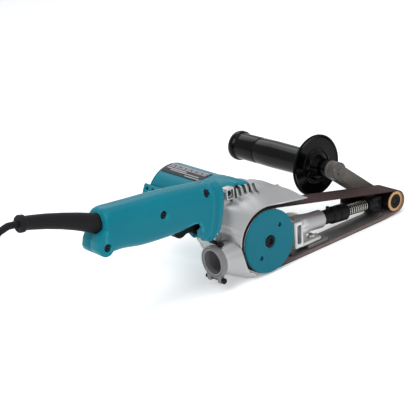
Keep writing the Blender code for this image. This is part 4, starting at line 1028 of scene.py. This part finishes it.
def handle_section(x):
    """The handle's section at a place along it, smoothly between the listed ones."""
    for i in range(len(HANDLE_SECTIONS) - 1):
        a, b = HANDLE_SECTIONS[i], HANDLE_SECTIONS[i + 1]
        if a[0] <= x <= b[0]:
            before = HANDLE_SECTIONS[max(0, i - 1)]
            after = HANDLE_SECTIONS[min(len(HANDLE_SECTIONS) - 1, i + 2)]
            t = (x - a[0]) / (b[0] - a[0])
            values = []
            for k in range(1, 5):
                span = b[0] - a[0]
                slope_a = (b[k] - before[k]) / max(1e-6, b[0] - before[0]) * span
                slope_b = (after[k] - a[k]) / max(1e-6, after[0] - a[0]) * span
                h1 = 2 * t**3 - 3 * t**2 + 1
                h2 = t**3 - 2 * t**2 + t
                h3 = -2 * t**3 + 3 * t**2
                h4 = t**3 - t**2
                values.append(h1 * a[k] + h2 * slope_a + h3 * b[k] + h4 * slope_b)
            return (x, *values)
    return HANDLE_SECTIONS[-1]


def handle_row(section, swell=0.0, count=64):
    """One ring of the handle: a rounded box section, leaning with the joint."""
    x, bottom, top, half_width, lean = section
    middle = (bottom + top) / 2
    tall, wide = (top - bottom) / 2 + swell, half_width + swell
    row = []
    for i in range(count):
        angle = math.tau * (i + 0.5) / count
        across = math.copysign(abs(math.cos(angle)) ** 0.72, math.cos(angle)) * wide
        up = math.copysign(abs(math.sin(angle)) ** 0.72, math.sin(angle)) * tall
        row.append((x + lean * (middle + up - JOINT_Z), across, middle + up))
    return row


def handle_rows():
    rear = handle_section(HANDLE_SECTIONS[0][0])
    rows = [handle_row((rear[0] - 0.1, *rear[1:]), -shrink) for shrink in (6.0, 3.0, 1.2)]
    places = [-196.5, -196.0, -195.0, -193.5, -191.0, -188.0]
    places += [-184.0 + 4.0 * i for i in range(26)]
    places += [-79.0, -76.5, -75.3, -74.3, -71.3, -70.3, -69.3, -66.3, -65.3, -64.3, -63.0, -62.0, -59.6]
    rows += [handle_row(handle_section(x), RIBS.get(x, 0.0)) for x in places]
    return rows


def finger_recess():
    """The hollow under the handle in which the trigger shows from the side."""
    outline = [
        (-111.0, 30.0), (-108.5, 43.5), (-101.0, 46.5), (-92.0, 48.5), (-86.0, 48.0), (-83.0, 43.0),
        (-82.0, 30.0),
    ]
    return plate_tool(fillet(outline, 2.0), -25.0, 25.0)


def make_handle_half(name, side, node):
    """One half of the handle: the belt side for -1, the motor side for 1."""
    shell = skin(name, handle_rows(), "machine", "teal_plastic", (node,), True, True, False, 40.0)
    hollow(shell, 2.6, (-130.0, 0.0, 64.0))
    outline = arc((-192.5, 58.0), 8.3, -178.0, -8.0, 24)
    outline += [(-181.0, 58.0), (-181.0, 72.0), (-190.5, 76.0), (-194.5, 71.5), (-199.0, 64.5)]
    lug = plate_tool(fillet(outline, 3.0), -15.0, 13.5, 1.6)
    combine(shell, [lug], "UNION")
    direction = Vector((-0.93, 0.0, 0.367))
    hub = Vector((-187.0, 0.0, 77.0))
    tools = [
        cutter((-130.0, -side * 59.9, 50.0), (260.0, 120.0, 260.0)),
        rod(hub - direction * 14.0, direction, 9.6, 40.0, 48),
        cutter((-92.2, 0.0, 34.0), (39.4, 12.6, 44.0), bevel=1.0),
        finger_recess(),
    ]
    if side < 0:
        for x, depth, z in HANDLE_SCREWS.values():
            tools.append(rod((x, -depth - 10.0, z), Y_AXIS, 3.9, 13.6, 36))
    else:
        tools.append(rod((DIAL_CENTRE.x, 10.0, DIAL_CENTRE.z), Y_AXIS, 9.4, 9.0, 48))
        tools.append(rod((LOCK_X, 8.0, LOCK_Z), Y_AXIS, 4.3, 20.0, 36))
    combine(shell, tools)
    round_edges(shell, 0.35, 2, 45.0)
    reshade(shell, 34)


def make_handle():
    make_handle_half("handle_shell_right", -1, "handle_right")
    make_handle_half("handle_shell_left", 1, "handle_left")
    for name, (x, depth, z) in HANDLE_SCREWS.items():
        head = (x, -depth + 3.4, z)
        screw_head(f"case_screw_{name}", head, -Y_AXIS, 3.3, 2.2, (f"handle_screw_{name}",))


def make_flange_wall():
    """The end wall inside the handle's flange, against the gear case."""
    centre = (-60.2, 0.0, 48.4)
    lean = Matrix.Rotation(math.atan(JOINT_LEAN), 3, "Y")
    wall = block("flange_wall", centre, (1.8, 26.0, 51.0), lean, "machine", "cast_aluminium")
    combine(wall, [cutter(centre, (1.8, 32.0, 40.0), lean)], "UNION")


def make_trigger():
    outline = [
        (-109.3, 49.0), (-109.3, 43.5), (-107.5, 38.4), (-104.5, 35.4), (-101.8, 34.3), (-98.5, 34.8),
        (-95.0, 36.4), (-91.5, 36.8), (-88.0, 35.8), (-85.0, 33.6), (-82.0, 31.7), (-79.5, 31.0),
        (-77.0, 32.2), (-75.6, 36.0), (-73.2, 46.5), (-76.0, 49.5),
    ]
    side_plate("trigger_blade", outline, -5.7, 5.7, "trigger", "black_moulding", ("trigger",), 1.1)


def make_lock_button():
    profile = [(0, 2.4), (3.0, 2.4), (3.9, 1.4), (3.9, -7.4), (0, -7.4)]
    turned("lock_pin", profile, (LOCK_X, 17.6, LOCK_Z), Y_AXIS, "lock_button", "black_moulding",
           ("lock_button",), 40, 0.6)


def make_speed_dial():
    teeth = 30
    profile = fillet([(0, 3.4), (8.4, 3.4), (9.0, 2.8), (9.0, -4.0), (0, -4.0)], 0.4, False)
    working = turned_mesh(profile, DIAL_CENTRE, Y_AXIS, teeth * 4)
    for vertex in working.verts:
        offset = vertex.co - Vector((DIAL_CENTRE.x, vertex.co.y, DIAL_CENTRE.z))
        if offset.length > 8.6:
            angle = math.atan2(offset.z, offset.x)
            vertex.co -= offset.normalized() * 0.25 * (1 + math.cos(teeth * angle))
    add_piece("speed_wheel", working, "speed_dial", "black_moulding", ("speed_dial",))


# ---------------------------------------------------------------- arm

ARM_DIRECTION = Vector((math.cos(ARM_TILT), 0.0, -math.sin(ARM_TILT)))
ARM_UP = Vector((math.sin(ARM_TILT), 0.0, math.cos(ARM_TILT)))
BOSS_END = 88.7
FOOT_SCREW = Vector((72.0, -1.0, -22.9))


def on_arm(along, across=0.0, up=0.0):
    """A point by its distance along the arm, across the machine and above the arm's line."""
    return ARM_DIRECTION * along + Y_AXIS * across + ARM_UP * up


def arm_turned(name, profile, body, surface, replaced, steps=64, rounding=0.4, closed=True):
    return turned(name, profile, (0, 0, 0), ARM_DIRECTION, body, surface, replaced, steps, rounding, closed)


def make_bracket():
    outline = [(39.8, 4.6), (52.0, 4.0), (51.6, -24.6), (39.6, -24.6)]
    web = side_plate("arm_casting", fillet(outline, 1.6), -12.0, 16.6, "machine", "cast_aluminium",
                     ("arm_bracket",), 0.9)
    end = BOSS_END
    profile = [(6.2, end), (9.2, end), (9.6, end - 0.3), (9.8, end - 0.9), (9.8, 72.0), (10.4, 65.0),
               (11.4, 57.0), (12.0, 50.0), (12.0, 46.0), (6.2, 46.0)]
    boss = turned_mesh(fillet(profile, 0.4), (0, 0, 0), ARM_DIRECTION, 72, True)
    gusset = [(40.0, 4.4), (47.0, 5.4), (58.0, 4.6), (66.0, 2.4), (66.0, -6.0), (40.0, -6.0)]
    parts = [
        add_piece("tool", boss, None, "cast_aluminium"),
        cutter((65.5, 0.5, -25.0), (29.0, 19.0, 3.6), bevel=0.8),
        cutter((56.5, 2.5, -19.0), (11.0, 11.0, 14.0), bevel=1.2),
        plate_tool(fillet(gusset, 2.0), -2.0, 16.5, 0.8),
    ]
    combine(web, parts, "UNION")
    slot = [(44.0, 0.2), (50.0, 0.6), (48.2, -20.6), (42.4, -19.8)]
    tools = [
        plate_tool(fillet(slot, 1.8), -20.0, -5.5),
        rod(on_arm(64.0), ARM_DIRECTION, 6.2, 60.0, 40),
        rod(FOOT_SCREW - Z_AXIS * 13.1, Z_AXIS, 2.3, 20.0, 24),
    ]
    combine(web, tools)
    round_edges(web, 0.3, 2, 50.0)
    reshade(web)


def make_foot_screw():
    profile = [(0, 3.0), (2.4, 3.0), (4.2, 2.2), (5.0, 1.0), (5.0, 0.0), (2.0, 0.0), (2.0, -3.8), (0, -3.8)]
    screw = turned("foot_screw", profile, FOOT_SCREW, Z_AXIS, "machine", "bright_steel", ("shoe_screw",),
                   40, 0.3)
    top = FOOT_SCREW + Z_AXIS * 2.9
    combine(screw, [cutter(top, (6.0, 1.0, 2.0)), cutter(top, (1.0, 6.0, 2.0))])
    reshade(screw)


def ribbed(working, count, low, high, limit, depth):
    """Press flutes into a turned mesh between two places along the arm."""
    for vertex in working.verts:
        along = vertex.co.dot(ARM_DIRECTION)
        offset = vertex.co - ARM_DIRECTION * along
        if offset.length > limit and low < along < high:
            angle = math.atan2(offset.y, offset.dot(ARM_UP))
            vertex.co -= offset.normalized() * depth * (1 + math.cos(count * angle))


def make_sleeves():
    first = BOSS_END + 0.3
    profile = [(6.3, first), (7.6, first), (7.8, first + 0.4), (7.8, 102.6), (8.2, 103.4), (9.2, 104.2),
               (9.3, 104.8), (9.3, 111.4), (9.0, 112.0), (6.3, 112.0)]
    sleeve = arm_turned("arm_tube", profile, "machine", "black_steel", ("arm_sleeve",), rounding=0.25)
    combine(sleeve, [rod(on_arm(100.0, 0.0, 4.5), ARM_UP, 2.3, 8.0, 32)])
    reshade(sleeve)
    profile = [(0, 11.3), (1.4, 11.3), (2.0, 10.7), (2.0, 6.3), (0, 6.3)]
    turned("release_pin", profile, on_arm(100.0), ARM_UP, "tension_release", "black_steel",
           ("tension_release",), 32, 0.3)
    ribs = 36
    profile = [(6.3, 126.5), (7.9, 126.5), (8.6, 126.0), (9.3, 124.8), (9.3, 114.4), (8.9, 113.8),
               (9.3, 113.2), (9.2, 112.3), (6.3, 112.3)]
    working = turned_mesh(fillet(profile, 0.2), (0, 0, 0), ARM_DIRECTION, ribs * 4, True)
    ribbed(working, ribs, 114.6, 124.6, 9.0, 0.2)
    add_piece("collar", working, "tracking_collar", "black_steel", ("tracking_collar",))


def make_spring():
    turns, per_turn, first, last, radius = 10, 28, 127.8, 157.0, 5.6
    points = []
    for i in range(turns * per_turn + 1):
        angle = math.tau * i / per_turn
        along = first + (last - first) * i / (turns * per_turn)
        points.append(on_arm(along, radius * math.sin(angle), radius * math.cos(angle)))
    wire("arm_spring", points, 0.5, "bright_steel", ("tension_spring",))


def make_idler_arm():
    profile = [(0, 172.0), (7.4, 172.0), (8.0, 171.2), (8.0, 159.2), (7.2, 158.3), (4.2, 158.3), (4.2, 76.2),
               (0, 76.2)]
    arm = turned("idler_arm", profile, (0, 0, 0), ARM_DIRECTION, "sliding_arm", "black_steel",
                 ("tension_arm",), 56, 0.4)
    basis = Matrix((ARM_DIRECTION, Y_AXIS, ARM_UP)).transposed()
    start, end = 163.0, CENTRES - 15.2
    head = cutter(on_arm((start + end) / 2, 6.2), (end - start, 26.2, 15.6), basis, 1.4)
    cheek = arc((CENTRES, 0), 9.4, -90, 90, 20)
    cheek += [(150.0, 8.5), (141.0, 7.5), (139.6, 6.5), (139.6, -4.9), (150.0, -7.9)]
    side = plate("tool", fillet(cheek, 1.0), on_arm(0.0, 17.9), ARM_DIRECTION, ARM_UP, 3.6, None,
                 "black_steel", (), 0.5)
    combine(arm, [head, side], "UNION")
    combine(arm, [rod(IDLER_CENTRE + Y_AXIS * 10.0, Y_AXIS, PIN_HOLE, 20.0, 40)])
    reshade(arm)


def make_idler_wheel():
    """The idler's pin, roller and brass bush, and the nut on the pin's far end."""
    profile = [(0, -11.9), (3.4, -11.9), (4.0, -11.3), (4.0, 26.8), (0, 26.8)]
    turned("idler_pin", profile, IDLER_CENTRE, Y_AXIS, "sliding_arm", "black_steel", ("idler_axle",),
           40, 0.3)
    profile = [(4.3, -12.2), (8.4, -12.2), (11.5, -12.2), (11.5, 12.6), (11.0, 13.4), (4.3, 13.4)]
    turned("idler_roller", profile, IDLER_CENTRE, Y_AXIS, "idler_wheel", "black_steel", ("idler_pulley",),
           64, 0.3, True)
    profile = [(8.1, -12.5), (8.1, -13.2), (8.4, -13.4), (11.2, -13.4), (11.5, -13.1), (11.5, -12.5)]
    turned("idler_bush", profile, IDLER_CENTRE, Y_AXIS, "idler_wheel", "brass", ("idler_ring",), 80, 0.15,
           True)
    hexagon = arc((IDLER_X, IDLER_Z), 7.3, 0, 300, 5)
    nut = side_plate("pin_nut", hexagon, 24.5, 29.1, "sliding_arm", "bright_steel", ("axle_nut",), 0.5)
    combine(nut, [rod(IDLER_CENTRE + Y_AXIS * 20.0, Y_AXIS, PIN_HOLE, 20.0, 32)])
    reshade(nut)


def make_shoe():
    """The pressed platen, bent up at both ends, and the tab that the foot screw holds."""
    sole = -(DRIVE_RADIUS - 0.35)
    front = IDLER_X - PLATEN_BACKSET
    outline = [(37.2, sole + 1.6), (40.0, sole), (front - 3.0, sole), (front + 5.4, sole + 3.5),
               (front + 4.9, sole + 4.5), (front - 3.4, sole + 1.1), (41.0, sole + 1.1),
               (37.6, sole + 2.6)]
    shoe = side_plate("sole_plate", outline, -8.5, 13.5, "machine", "platen_steel", ("platen",), 0.25)
    combine(shoe, [cutter((75.0, 0.3, -29.9), (29.6, 19.2, 4.6), bevel=0.6)], "UNION")
    reshade(shoe)


def make_grip_link():
    start = Vector((GRIP_X, 0.0, GRIP_Z))
    dx, dz = GRIP_X - IDLER_X, GRIP_Z - IDLER_Z
    along = math.degrees(math.atan2(dz, dx))
    outline = arc((GRIP_X, GRIP_Z), 9.9, along - 90, along + 90, 24)
    outline += arc((IDLER_X, IDLER_Z), 9.9, along + 90, along + 270, 24)
    link = side_plate("grip_link", outline, 20.2, 24.2, "grip", "plate_steel", ("grip_plate",), 0.5)
    combine(link, [rod(end + Y_AXIS * 10.0, Y_AXIS, PIN_HOLE, 30.0, 40) for end in (IDLER_CENTRE, start)])
    reshade(link)
    profile = [(0, 9.1), (3.0, 9.1), (3.4, 9.5), (3.4, 10.5), (9.2, 10.5), (10.0, 11.3), (10.0, 19.9),
               (4.0, 19.9), (4.0, 60.0), (0, 60.0)]
    turned("grip_stud", profile, start, Y_AXIS, "grip", "plate_steel", ("grip_bolt",), 64, 0.4)


def make_side_grip():
    start = (GRIP_X, 0, GRIP_Z)
    guard, end = 46.0, 176.0
    profile = [
        (4.3, 24.5), (9.5, 24.5), (9.9, 36.0), (11.0, guard - 6.0), (12.4, guard - 1.6), (16.5, guard - 0.4),
        (17.5, guard - 1.2), (19.0, guard - 1.2), (20.0, guard), (31.0, guard + 0.2), (33.4, guard - 0.8),
        (34.5, guard + 0.4), (34.5, guard + 1.6), (33.2, guard + 2.7), (18.0, guard + 3.4),
        (15.6, guard + 6.0), (15.0, guard + 12.0), (15.6, 110.0), (15.4, 133.4), (14.6, 134.0),
        (14.6, 134.8), (15.4, 135.4), (15.3, 163.5), (15.6, 165.5), (17.2, 167.5), (17.5, 171.0),
        (16.8, 174.0), (14.0, end - 0.2), (0, end), (0, 63.0), (4.3, 63.0),
    ]
    turned("grip_body", profile, start, Y_AXIS, "grip", "black_plastic", ("side_grip",), 96, 0.5, True)


# ---------------------------------------------------------------- plug


def make_plug():
    """The plug's moulding, which starts where the cord ends."""
    profile = [(0, 44.0), (10.5, 44.0), (12.5, 42.5), (13.0, 38.0), (11.5, 30.0), (9.0, 20.0), (5.5, 14.0),
               (5.0, 9.0), (4.4, 8.4), (5.0, 7.8), (5.0, 5.4), (4.4, 4.8), (5.0, 4.2), (5.0, 0.0), (0, 0)]
    turned("plug_shell", profile, PLUG_LEAD[-1], X_AXIS, "machine", "cord_rubber", ("plug_body",), 64, 0.5)


# ---------------------------------------------------------------- build

MADE = make_materials()
make_camera()
make_cord()
make_studio()
make_cord_guard()
make_belt()
make_drive_wheel()
make_belt_cover()
make_gear_case()
make_duct()
make_duct_clamp()
make_joint_bolt()
make_barrel()
make_motor_cap()
make_brush_plugs()
make_nameplate()
make_handle()
make_flange_wall()
make_trigger()
make_lock_button()
make_speed_dial()
make_bracket()
make_foot_screw()
make_sleeves()
make_spring()
make_idler_arm()
make_idler_wheel()
make_shoe()
make_grip_link()
make_side_grip()
make_plug()
